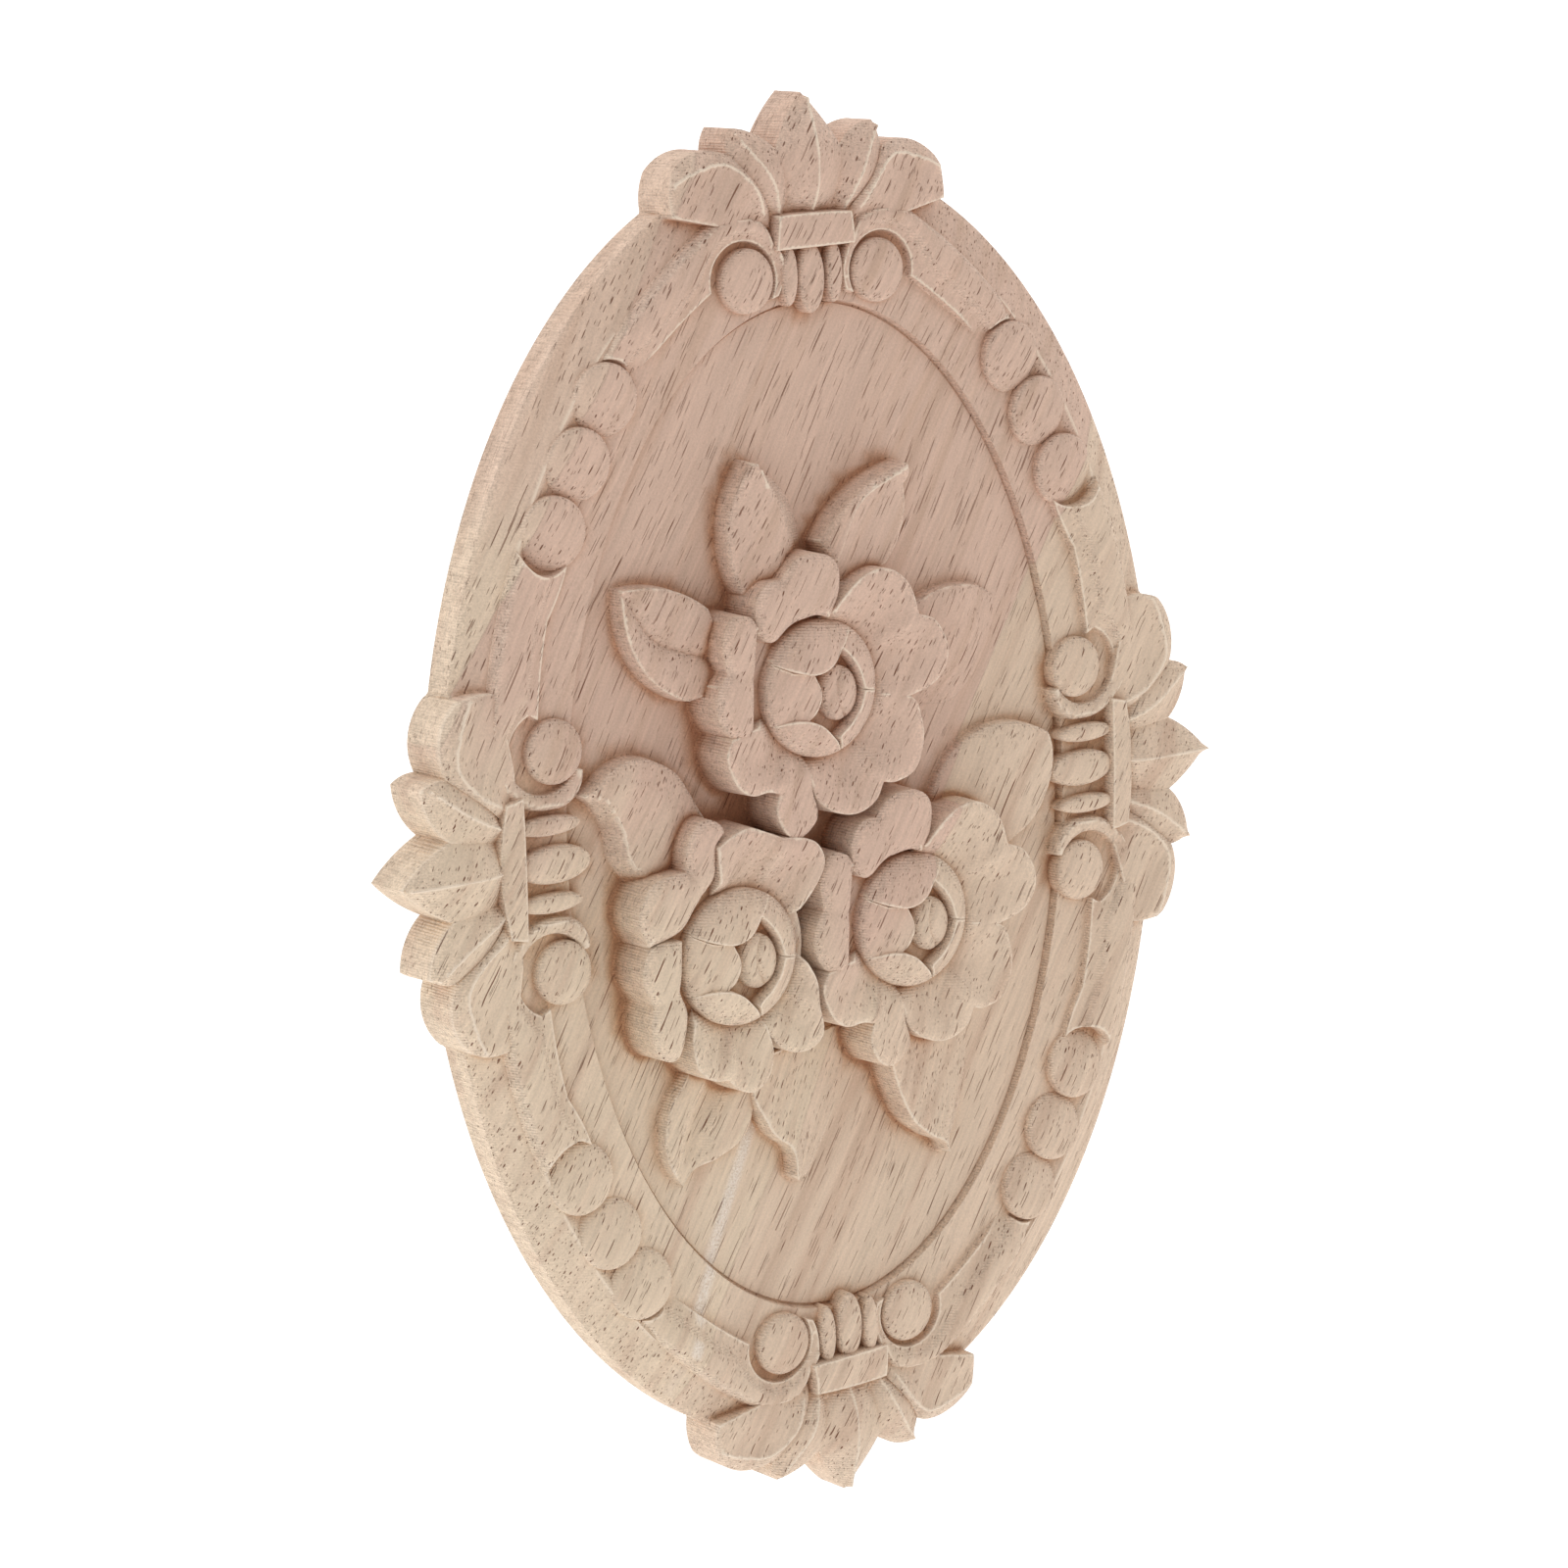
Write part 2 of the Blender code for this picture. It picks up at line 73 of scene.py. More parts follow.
def arcs(corners):
    """Closed outline through corners (x, y, bulge), each run an arc with that rise to its left."""
    out = []
    for i, (x, y, s) in enumerate(corners):
        x2, y2, _ = corners[(i + 1) % len(corners)]
        p, q = np.array([x, y], float), np.array([x2, y2], float)
        run = q - p
        length = np.hypot(*run)
        normal = np.array([-run[1], run[0]]) / length
        count = max(3, int(math.ceil((length + 2 * abs(s)) / STEP)))
        t = np.linspace(0, 1, count, endpoint=False)[:, None]
        if abs(s) < 1e-6:
            out.append(p + run * t)
            continue
        radius = (length * length / 4 + s * s) / (2 * s)
        centre = (p + q) / 2 + normal * (s - radius)
        angle = 2 * math.asin(min(1.0, length / (2 * abs(radius))))
        if abs(s) > length / 2:
            angle = 2 * math.pi - angle
        turn = -math.copysign(1, s) * angle * t[:, 0]
        v = p - centre
        out.append(centre + np.column_stack([v[0] * np.cos(turn) - v[1] * np.sin(turn),
                                             v[0] * np.sin(turn) + v[1] * np.cos(turn)]))
    return np.vstack(out)


def circle(x, y, r, r2=None):
    count = int(2 * math.pi * r / STEP)
    t = np.linspace(0, 2 * math.pi, count, endpoint=False)
    return np.column_stack([x + r * np.cos(t), y + (r2 or r) * np.sin(t)])


def smooth(a, b, v):
    t = np.clip((v - a) / (b - a), 0, 1)
    return t * t * (3 - 2 * t)


def to_line(points, line, closed=False):
    """Distance from each point to a polyline, and on which side it lies (+1 is left)."""
    line = np.asarray(line, float)
    if closed:
        line = np.vstack([line, line[:1]])
    a, d = line[:-1], np.diff(line, axis=0)
    squared = np.maximum((d ** 2).sum(1), 1e-12)
    best = np.full(len(points), 1e9)
    side = np.ones(len(points))
    for start in range(0, len(points), 4000):
        p = points[start:start + 4000]
        rel = p[:, None, :] - a[None]
        t = np.clip((rel * d[None]).sum(2) / squared, 0, 1)
        away = rel - t[..., None] * d[None]
        apart = np.hypot(away[..., 0], away[..., 1])
        i = apart.argmin(1)
        rows = np.arange(len(p))
        best[start:start + 4000] = apart[rows, i]
        side[start:start + 4000] = np.sign(d[i, 0] * rel[rows, i, 1] - d[i, 1] * rel[rows, i, 0])
    return best, side


def gap(points, line, closed=False):
    return to_line(points, line, closed)[0]


def signed_area(outline):
    return (outline[:, 0] * np.roll(outline[:, 1], -1) - np.roll(outline[:, 0], -1) * outline[:, 1]).sum()


def triangulated(points, edges):
    """Triangles between the points that keep the edges, and where each point given ended up."""
    made = delaunay_2d_cdt([Vector(p) for p in points], edges, [], 1, 1e-5)
    where = {old: new for new, olds in enumerate(made[3]) for old in olds}
    return np.array([tuple(v) for v in made[0]]), [tuple(f) for f in made[2]], where


def loop_edges(count):
    return [(i, (i + 1) % count) for i in range(count)]


def read(items, name, width=1, kind=float):
    """One property of all of a mesh's points, edges, corners or faces."""
    values = np.empty(len(items) * width, kind)
    items.foreach_get(name, values)
    return values.reshape(-1, width) if width > 1 else values


def placed(name, data):
    made = bpy.data.objects.new(name, data)
    bpy.context.scene.collection.objects.link(made)
    return made


def inside(points, outline):
    """Which points lie within a closed outline."""
    x, y = points[:, 0:1], points[:, 1:2]
    x1, y1 = outline[:, 0], outline[:, 1]
    x2, y2 = np.roll(x1, -1), np.roll(y1, -1)
    rise = np.where(np.abs(y2 - y1) < 1e-12, 1e-12, y2 - y1)
    hits = ((y1 > y) != (y2 > y)) & (x < (x2 - x1) * (y - y1) / rise + x1)
    return hits.sum(1) % 2 == 1


def ground(p):
    """Height of the uncarved board: edge, sloping rim, flat border and sunk field."""
    x, y = p[:, 0], p[:, 1]
    outer = np.hypot(x / BOARD_A, y / BOARD_B)
    crest = np.hypot(x / CREST_A, y / CREST_B)
    # Share of the way from the board's edge to the crest of the rim
    inner = outer / np.maximum(crest, 1e-9)
    share = np.clip((1 - outer) / np.maximum(1 - inner, 1e-9), 0, 1)
    rim = EDGE_H + (CREST_H - EDGE_H) * share
    flat = BORDER_H + (CREST_H - BORDER_H) * smooth(0.975, 1.0, crest)
    h = np.where(crest > 1, rim, flat)
    field = np.hypot(x / FIELD_A, y / FIELD_B)
    h = np.where(field < 1, FIELD_H, h)
    return np.where(outer > 1.0001, -1.0, h)


class Value:
    """A number or colour that varies over the wood, for use in plain arithmetic."""

    def __init__(self, nodes, socket):
        self.nodes, self.socket = nodes, socket

    def math(self, operation, *others):
        sockets = {0: self}
        for k, other in enumerate(others):
            sockets[k + 1] = other
        return self.nodes.make("ShaderNodeMath", {"operation": operation}, sockets)

    def reflected(self, operation, other):
        return self.nodes.make("ShaderNodeMath", {"operation": operation}, {0: other, 1: self})

    def __add__(self, other):
        return self.math("ADD", other)

    __radd__ = __add__

    def __sub__(self, other):
        return self.math("SUBTRACT", other)

    def __rsub__(self, other):
        return self.reflected("SUBTRACT", other)

    def __mul__(self, other):
        return self.math("MULTIPLY", other)

    __rmul__ = __mul__

    def __truediv__(self, other):
        return self.math("DIVIDE", other)

    def __pow__(self, other):
        return self.math("POWER", other)

    def held(self, high=1.0):
        """Kept between 0 and high."""
        return self.math("MAXIMUM", 0.0).math("MINIMUM", high)

    def step(self, low, high):
        """0 below low, 1 above high, smooth between; falls instead where low is the larger."""
        if low > high:
            return 1 - self.step(high, low)
        return self.nodes.make("ShaderNodeMapRange", {"interpolation_type": "SMOOTHSTEP"},
                               {0: self, 1: low, 2: high})


class Nodes:
    """Builds one node tree."""

    def __init__(self, tree):
        self.tree = tree

    def make(self, kind, settings=None, sockets=None, out=0):
        node = self.tree.nodes.new(kind)
        for name, value in (settings or {}).items():
            setattr(node, name, value)
        for key, value in (sockets or {}).items():
            if isinstance(value, Value):
                self.tree.links.new(value.socket, node.inputs[key])
            else:
                node.inputs[key].default_value = value
        return Value(self, node.outputs[out])

    def vector(self, x, y, z):
        return self.make("ShaderNodeCombineXYZ", None, {0: x, 1: y, 2: z})

    def part(self, vector, axis):
        return self.make("ShaderNodeSeparateXYZ", None, {0: vector}, axis)

    def noise(self, vector, detail=2.0, rough=0.5):
        """Noise about 0, from -1 to 1, at a scale of 1 mm."""
        made = self.make("ShaderNodeTexNoise", {"noise_dimensions": "3D"},
                         {"Vector": vector, "Scale": 1.0, "Detail": detail, "Roughness": rough}, "Fac")
        return made * 2 - 1

    def blend(self, share, one, two, kind="MIX"):
        settings = {"data_type": "RGBA", "blend_type": kind}
        return self.make("ShaderNodeMix", settings, {0: share, 6: one, 7: two}, 2)

    def darkened(self, share, colour, tone):
        """The colour times the tone, as far as the share goes."""
        return self.blend(share, colour, self.blend(1.0, colour, tone, "MULTIPLY"))


class Carving:
    """Collects the closed blocks of the carving, each rooted in the board."""

    def __init__(self):
        self.blocks = []

    def add(self, verts, faces):
        """Keeps a block given as (x, y, h) in mm; the face of the carving looks along -Y."""
        self.blocks.append((np.column_stack([verts[:, 0], -verts[:, 2], verts[:, 1]]) * MM, faces))

    def block(self, outline, top, creases=(), grid=TOP_GRID, draft=0.10, root=ROOT_H, place=None):
        """One carved form: its top surface over the outline, walls with a little draft, and a root."""
        outline = np.asarray(outline, float)
        if signed_area(outline) < 0:
            outline = outline[::-1]
        count = len(outline)
        low, high = outline.min(0), outline.max(0)
        # Rows of a triangular grid
        row = grid * 0.866
        gx, gy = np.meshgrid(np.arange(low[0], high[0], grid), np.arange(low[1], high[1], row))
        gx[1::2] += grid / 2
        pts = np.column_stack([gx.ravel(), gy.ravel()])
        pts = pts[inside(pts, outline)]
        if len(pts):
            pts = pts[gap(pts, outline, True) > grid * 0.45]
        extra, edges = [], []
        for crease in creases:
            fine = resample(crease, CREASE_STEP)
            fine = fine[inside(fine, outline)]
            fine = fine[gap(fine, outline, True) > CREASE_GAP]
            if len(fine) < 2:
                continue
            if len(pts):
                pts = pts[gap(pts, fine) > CREASE_GAP]
            extra.append(fine)
        base = count
        for fine in extra:
            edges += [(base + i, base + i + 1) for i in range(len(fine) - 1)]
            base += len(fine)
        flat = np.vstack([outline] + extra + [pts])
        xy, faces, where = triangulated(flat, loop_edges(count) + edges)
        heights = top(xy)
        used = [where[i] for i in range(count)]
        normal = outline_normals(outline)
        t = heights[used]
        world = place(outline) if place else outline
        level = ground(world)
        g = np.maximum(level, root + 0.6)
        deep = np.maximum(t - g, 0.05)
        chip = np.minimum(CHIP, deep * 0.25)
        rings = [(np.zeros(count), t)]
        rings.append((chip * 0.7, t - chip))
        rings.append((chip * 0.7 + draft * deep * 0.8, g + deep * 0.2 * np.minimum(1, 1.2 / deep)))
        flare = np.where(level > 0, np.minimum(0.3, deep * 0.2), 0)
        rings.append((chip * 0.7 + draft * deep + flare, g - 0.04))
        rings.append((rings[-1][0], np.full(count, root)))
        verts = [np.column_stack([xy, heights])]
        index = [np.array(used)]
        total = len(xy)
        for out, h in rings[1:]:
            verts.append(np.column_stack([outline + normal * out[:, None], h]))
            index.append(np.arange(total, total + count))
            total += count
        for one, two in zip(index, index[1:]):
            faces += [(int(one[j]), int(one[i]), int(two[i]), int(two[j])) for i, j in loop_edges(count)]
        faces.append(tuple(int(i) for i in index[-1][::-1]))
        verts = np.vstack(verts)
        mirrored = False
        if place:
            verts = np.column_stack([place(verts[:, :2]), verts[:, 2]])
            probe = place(np.array([[0.0, 0.0], [1.0, 0.0], [0.0, 1.0]]))
            a, b = probe[1] - probe[0], probe[2] - probe[0]
            mirrored = a[0] * b[1] - a[1] * b[0] < 0
        if mirrored:
            faces = [f[::-1] for f in faces]
        self.add(verts, faces)


def outline_normals(outline):
    """Outward direction at each point of an anticlockwise outline, a little longer at corners."""
    ahead = np.roll(outline, -1, 0) - outline
    ahead /= np.maximum(np.linalg.norm(ahead, axis=1)[:, None], 1e-9)
    behind = np.roll(ahead, 1, 0)
    n = np.column_stack([ahead[:, 1] + behind[:, 1], -ahead[:, 0] - behind[:, 0]])
    size = np.linalg.norm(n, axis=1)
    n /= np.maximum(size, 1e-9)[:, None]
    return n * np.minimum(1.5, 2 / np.maximum(size, 0.5))[:, None]


def resample(line, step):
    line = np.asarray(line, float)
    d = np.hypot(*np.diff(line, axis=0).T)
    s = np.concatenate([[0], np.cumsum(d)])
    count = max(2, int(s[-1] / step) + 1)
    t = np.linspace(0, s[-1], count)
    return np.column_stack([np.interp(t, s, line[:, 0]), np.interp(t, s, line[:, 1])])


def curve(points, step=STEP):
    """Smooth line through a few points."""
    rows = np.array(points, float)
    if len(rows) == 2:
        return resample(rows, step)
    rows = np.vstack([2 * rows[0] - rows[1], rows, 2 * rows[-1] - rows[-2]])
    out = []
    for i in range(1, len(rows) - 2):
        a, b, c, d = rows[i - 1:i + 3]
        for t in np.linspace(0, 1, 12, endpoint=False):
            out.append(0.5 * (2 * b + (c - a) * t + (2 * a - 5 * b + 4 * c - d) * t ** 2
                              + (3 * b - a - 3 * c + d) * t ** 3))
    out.append(rows[-2])
    return resample(out, step)


def shaped(points):
    """Closed outline through points (x, y) or (x, y, 1); the third value marks a sharp corner."""
    rows = [(p[0], p[1], len(p) > 2) for p in points]
    first = [sharp for _, _, sharp in rows].index(True)
    rows = rows[first:] + rows[:first + 1]
    out, run = [], [rows[0][:2]]
    for x, y, sharp in rows[1:]:
        run.append((x, y))
        if sharp:
            out.append(curve(run)[:-1])
            run = [(x, y)]
    return np.vstack(out)


def mirror(sx, sy):
    return lambda p: p * np.array([sx, sy])


def board(carving):
    """The oval board, in rings from its planed back over the edge and rim to the middle of the field."""
    sides = BOARD_SIDES
    t = np.linspace(0, 2 * math.pi, sides, endpoint=False)
    unit = np.column_stack([np.cos(t), np.sin(t)])

    def oval(a, b):
        return unit * np.array([a, b])

    rings = [(oval(BOARD_A, BOARD_B), np.zeros(sides))]
    rings.append((oval(BOARD_A, BOARD_B), np.full(sides, EDGE_H - 0.12)))
    rings.append((oval(BOARD_A - 0.1, BOARD_B - 0.1), np.full(sides, EDGE_H)))
    for share in np.linspace(0, 1, 8)[1:]:
        a = BOARD_A - 0.1 + (CREST_A - BOARD_A + 0.1) * share
        b = BOARD_B - 0.1 + (CREST_B - BOARD_B + 0.1) * share
        rings.append((oval(a, b), np.full(sides, EDGE_H + (CREST_H - EDGE_H) * share)))
    for share in (0.992, 0.984, 0.975):
        p = oval(CREST_A * share, CREST_B * share)
        rings.append((p, ground(p)))
    for share in (0.7, 0.35):
        a = FIELD_A + (CREST_A * 0.975 - FIELD_A) * share
        b = FIELD_B + (CREST_B * 0.975 - FIELD_B) * share
        rings.append((oval(a, b), np.full(sides, BORDER_H)))
    rings.append((oval(FIELD_A + 0.6, FIELD_B + 0.6), np.full(sides, BORDER_H)))
    rings.append((oval(FIELD_A + 0.08, FIELD_B + 0.08), np.full(sides, BORDER_H)))
    rings.append((oval(FIELD_A, FIELD_B), np.full(sides, BORDER_H - 0.1)))
    # A fine line is cut at the foot of the step
    for inward, level in ((0.10, 0.1), (0.22, -0.30), (0.48, -0.30), (0.62, 0.0), (1.4, 0.0)):
        rings.append((oval(FIELD_A - inward, FIELD_B - inward), np.full(sides, FIELD_H + level)))
    verts = [np.column_stack([p, h]) for p, h in rings]
    faces = [(k * sides + i, k * sides + j, (k + 1) * sides + j, (k + 1) * sides + i)
             for k in range(len(rings) - 1) for i, j in loop_edges(sides)]
    faces.append(tuple(range(sides))[::-1])
    # The floor of the field, on a grid
    rim = rings[-1][0]
    gx, gy = np.meshgrid(np.arange(-FIELD_A, FIELD_A, 3.0), np.arange(-FIELD_B, FIELD_B, 3.0))
    spots = np.column_stack([gx.ravel(), gy.ravel()])
    spots = spots[np.hypot(spots[:, 0] / (FIELD_A - 2), spots[:, 1] / (FIELD_B - 2)) < 1]
    _, floor_faces, where = triangulated(np.vstack([rim, spots]), loop_edges(sides))
    last, total = (len(rings) - 1) * sides, len(rings) * sides
    number = {new: last + old if old < sides else total + old - sides for old, new in where.items()}
    verts.append(np.column_stack([spots, np.full(len(spots), FIELD_H)]))
    faces += [tuple(number[i] for i in f) for f in floor_faces]
    carving.add(np.vstack(verts), faces)


# Where a scroll is highest, as a share of its width from its inner foot
SCROLL_CREST = 0.62


def scroll_top(inner, outer, facet):
    """Rises from its inner foot over a hollow to the facet line, rolls over and drops to its outer edge."""
    def top(p):
        di, do = gap(p, inner), gap(p, outer)
        width = di + do
        v = di / np.maximum(width, 1e-6)
        lift = smooth(0.8, 6.0, width)
        crest = 8.5 + 1.35 * lift
        foot = 8.2 - 0.1 * lift
        edge = 8.2 + 0.1 * lift
        rising = foot + (crest - 0.8 * lift - foot) * np.clip(v / facet, 0, 1) ** 1.7
        rolled = np.clip(1 - ((v - SCROLL_CREST) / (1 - SCROLL_CREST)) ** 2, 0, 1)
        over = np.where(v < SCROLL_CREST,
                        crest - 0.5 * lift * ((SCROLL_CREST - v) / (SCROLL_CREST - facet)) ** 2,
                        edge + (crest - edge) * np.sqrt(rolled))
        return np.where(v < facet, rising, over)
    return top


def boss_tree():
    """Node tree that stamps a domed boss on each point: a sphere opened out to rim, dome and root."""
    tree = bpy.data.node_groups.new("boss_stamps", "GeometryNodeTree")
    tree.interface.new_socket("Geometry", in_out="INPUT", socket_type="NodeSocketGeometry")
    for name, value in (("Rim height", 8.0), ("Dome height", 9.5), ("Tilt", 0.0), ("Root height", ROOT_H),
                        ("Fullness", 0.8)):
        socket = tree.interface.new_socket(name, in_out="INPUT", socket_type="NodeSocketFloat")
        socket.default_value = value
    tree.interface.new_socket("Material", in_out="INPUT", socket_type="NodeSocketMaterial")
    tree.interface.new_socket("Geometry", in_out="OUTPUT", socket_type="NodeSocketGeometry")
    n = Nodes(tree)
    given = tree.nodes.new("NodeGroupInput")
    spots, rim, dome, tilt, root, fullness, material = (Value(n, given.outputs[k]) for k in range(7))
    ball = n.make("GeometryNodeMeshUVSphere", None, {"Segments": 44, "Rings": 24, "Radius": 1.0})
    place = n.make("GeometryNodeInputPosition")
    px, py, pz = (n.part(place, k) for k in range(3))
    upper = pz.math("GREATER_THAN", -0.01)
    swell = pz.math("MAXIMUM", 0.0) ** fullness
    height = rim + (dome - rim) * swell + tilt * px * (1 - 0.35 * px)
    level = upper * height + (1 - upper) * root
    shape = n.make("GeometryNodeSetPosition", None,
                   {"Geometry": ball, "Position": n.vector(px, level * -MM, py)})
    size = n.make("GeometryNodeInputNamedAttribute", {"data_type": "FLOAT_VECTOR"}, {"Name": "size"})
    turn = n.make("GeometryNodeInputNamedAttribute", {"data_type": "FLOAT"}, {"Name": "turn"})
    stamped = n.make("GeometryNodeInstanceOnPoints", None,
                     {"Points": spots, "Instance": shape, "Rotation": n.vector(0.0, turn, 0.0),
                      "Scale": size})
    real = n.make("GeometryNodeRealizeInstances", None, {"Geometry": stamped})
    dressed = n.make("GeometryNodeSetMaterial", None, {"Geometry": real, "Material": material})
    result = tree.nodes.new("NodeGroupOutput")
    tree.links.new(dressed.socket, result.inputs[0])
    return tree


def stamp(carving, tree, spots, **sizes):
    """Keeps a boss on each spot (x, y, half length, half width, direction), in mm and degrees."""
    mesh = bpy.data.meshes.new("boss_spots")
    mesh.from_pydata([(x * MM, 0.0, y * MM) for x, y, *_ in spots], [], [])
    mesh.attributes.new("size", "FLOAT_VECTOR", "POINT")
    mesh.attributes.new("turn", "FLOAT", "POINT")
    size, turn = mesh.attributes["size"], mesh.attributes["turn"]
    for k, (_, _, long, wide, angle) in enumerate(spots):
        size.data[k].vector = (long * MM, 1.0, wide * MM)
        turn.data[k].value = -math.radians(angle)
    made = placed("bosses", mesh)
    nodes = made.modifiers.new("bosses", "NODES")
    nodes.node_group = tree
    for item in tree.interface.items_tree:
        if item.in_out == "INPUT" and item.name in sizes:
            nodes[item.identifier] = sizes[item.name]
    bpy.context.view_layer.update()
    graph = bpy.context.evaluated_depsgraph_get()
    solid = bpy.data.meshes.new_from_object(made.evaluated_get(graph))
    made.modifiers.remove(nodes)
    carving.blocks.append((read(solid.vertices, "co", 3), [tuple(p.vertices) for p in solid.polygons]))
    bpy.data.objects.remove(made)


def border(carving, tree):
    """Scrolls, eyes and beads of one quarter, and their mirror images in the other three."""
    end, side = arcs(END_SCROLL), arcs(SIDE_SCROLL)
    end_outer = outline_part(end, END_SCROLL, 1, 4)
    end_inner = outline_part(end, END_SCROLL, 5, 8)
    side_outer = outline_part(side, SIDE_SCROLL, 0, 4)
    side_inner = outline_part(side, SIDE_SCROLL, 5, 9)
    end_top, side_top = scroll_top(end_inner, end_outer, 0.36), scroll_top(side_inner, side_outer, 0.3)

    def scooped(p):
        """The end scroll starts low, under the lip of the bead before it."""
        away = np.hypot(p[:, 0] - BEADS[0][0], p[:, 1] - BEADS[0][1])
        return end_top(p) - 1.5 * smooth(12.5, 5.0, away)
    corners = [(sx, sy) for sx in (1, -1) for sy in (1, -1)]
    for sx, sy in corners:
        carving.block(end, scooped, place=mirror(sx, sy))
        carving.block(side, side_top, place=mirror(sx, sy))
    for x, y, r in EYES:
        stamp(carving, tree, [(sx * x, sy * y, r, r, 0.0) for sx, sy in corners], **EYE_FORM)
    # Each bead leans on the one nearer the end of the oval, and stands highest on that side
    for x, y, r in BEADS:
        spots = [(sx * x, sy * y, r, r, math.degrees(math.atan2(sy * 0.88, -sx * 0.48)))
                 for sx, sy in corners]
        stamp(carving, tree, spots, **BEAD_FORM)


def outline_part(outline, corners, first, last):
    """The run of an outline from one corner to another."""
    def nearest(k):
        x, y, _ = corners[k % len(corners)]
        return int(np.hypot(outline[:, 0] - x, outline[:, 1] - y).argmin())
    a, b = nearest(first), nearest(last)
    if b <= a:
        b += len(outline)
    return outline[np.arange(a, b + 1) % len(outline)]


# Palmettes, in u outward from the clasp and w across: how far out one begins, its scale and its droop
PALMETTE_END, PALMETTE_SIDE = (92.2, 0.95, 2.3), (59.6, 1.0, 0.4)
MIDDLE_LEAF = ((-1.5, 4.6, 0.1), (0, 4.8, 0.3), (9.3, 5.9, 0.5), (17.4, 0, 0.5), (9.3, -5.9, 0.3),
               (0, -4.8, 0.1), (-1.5, -4.6, 0))
INNER_LEAF = ((-1.5, 8.0, 0), (0.0, 8.5, 1.2), (9.2, 15.0, 0.4), (13.4, 13.9, 1.0), (9.3, 5.9, 0.0),
              (0.0, 4.4, 0.0), (-1.5, 4.4, 0))
OUTER_LEAF = ((-2.6, 12.5, 0), (0.5, 26.5, 0.6), (7.2, 25.8, 1.9), (9.2, 15.0, 0.0), (0.0, 8.0, 0.0),
              (-2.0, 7.8, 0))
# Clasps: how far out one begins, its half width, its depth and its bow
CLASP_END, CLASP_SIDE = (86.8, 7.2, 4.9, 0.2), (56.4, 10.6, 3.0, 1.2)
# Ribs under a clasp: offset across, half width and length
RIBS_END = ((-4.6, 1.5, 8.6), (-0.5, 2.5, 9.9), (3.8, 1.5, 8.6))
RIBS_SIDE = ((-5.8, 1.5, 10.4), (0.1, 2.9, 12.0), (5.8, 1.5, 10.4))


def outward(reach, ux, uy, side=1, scale=1.0):
    """Turns u and w to x and y along one half of an axis."""
    def place(p):
        u, w = reach + scale * p[:, 0], side * scale * p[:, 1]
        return np.column_stack([ux * u + uy * w, uy * u + ux * w])
    return place


def roof(outline, ridge, ridge_h, edge_h, sink):
    """Two facets that meet on a ridge; the root lies lower by sink, fading out over 6 mm."""
    def top(p):
        dr, de = gap(p, ridge), gap(p, outline, True)
        v = de / np.maximum(dr + de, 1e-6)
        return edge_h + (ridge_h - edge_h) * v - sink * np.clip(1 - p[:, 0] / 6.0, 0, 1) ** 2
    return top


def palmette(carving, reach, scale, droop, ux, uy):
    """Five leaves that spread from a clasp and droop towards their tips."""
    def drooping(form):
        return lambda p: form(p) - droop * smooth(8.0, 18.5, p[:, 0] + 0.35 * np.abs(p[:, 1]))

    ridge = curve(((-1.5, 0.0), (17.2, 0.0)))
    middle = arcs(MIDDLE_LEAF)
    centre = outward(reach, ux, uy)
    carving.block(middle, drooping(roof(middle, ridge, 10.7, 8.7, 2.0)), (ridge,), root=0.0, place=centre,
                  draft=0.02)
    inner, outer = arcs(INNER_LEAF), arcs(OUTER_LEAF)
    inner_ridge = curve(((-1.0, 6.0), (5.0, 8.6), (9.5, 11.6), (12.6, 14.0)))
    lip = curve(((0.0, 9.6), (4.5, 12.2), (8.0, 16.5), (7.2, 22.0), (5.5, 26.0)))
    for side in (1, -1):
        place = outward(reach, ux, uy, side, scale)
        carving.block(inner, drooping(roof(inner, inner_ridge, 10.4, 8.8, 1.8)), (inner_ridge,), root=0.0,
                      place=place, draft=0.02)

        def hollow(p):
            d, where = to_line(p, lip)
            edge = gap(p, outer, True)
            inward = np.where(where > 0, d, -d)
            h = np.where(inward > 0, 8.9 + 1.4 * np.exp(-inward / 2.2) + 0.09 * np.clip(inward - 4, 0, 9),
                         10.3 - 0.35 * np.clip(-inward, 0, 4))
            sunk = 1.5 * np.clip(1 - p[:, 0] / 5.0, 0, 1) ** 2 * smooth(16, 9, p[:, 1])
            return h - 0.35 * np.exp(-edge / 0.6) - sunk
        carving.block(outer, drooping(hollow), (lip,), root=0.0, place=place, draft=0.02)


def clasp(carving, tree, reach, half, depth, bow, ribs, ux, uy):
    """The bar that holds a palmette, and the three ribs on its inner side."""
    place = outward(reach, ux, uy)
    far_half = half * 0.94
    band = arcs(((0, -half, 0.0), (0.3, half, 0.0), (depth, far_half, bow), (depth, -far_half, 0.0)))

    def band_top(p):
        along = np.clip((p[:, 0] - depth * 0.55) / depth, -1, 1)
        return 9.7 - 0.9 * along ** 2 - 0.02 * p[:, 1] ** 2 / half
    carving.block(band, band_top, place=place)
    tuck = 0.8
    for offset, wide, long in ribs:
        x, y = place(np.array([[(tuck - long) / 2, offset]]))[0]
        spot = (x, y, (long + tuck) / 2, wide, 90.0 * abs(uy))
        stamp(carving, tree, [spot], **RIB_FORM)


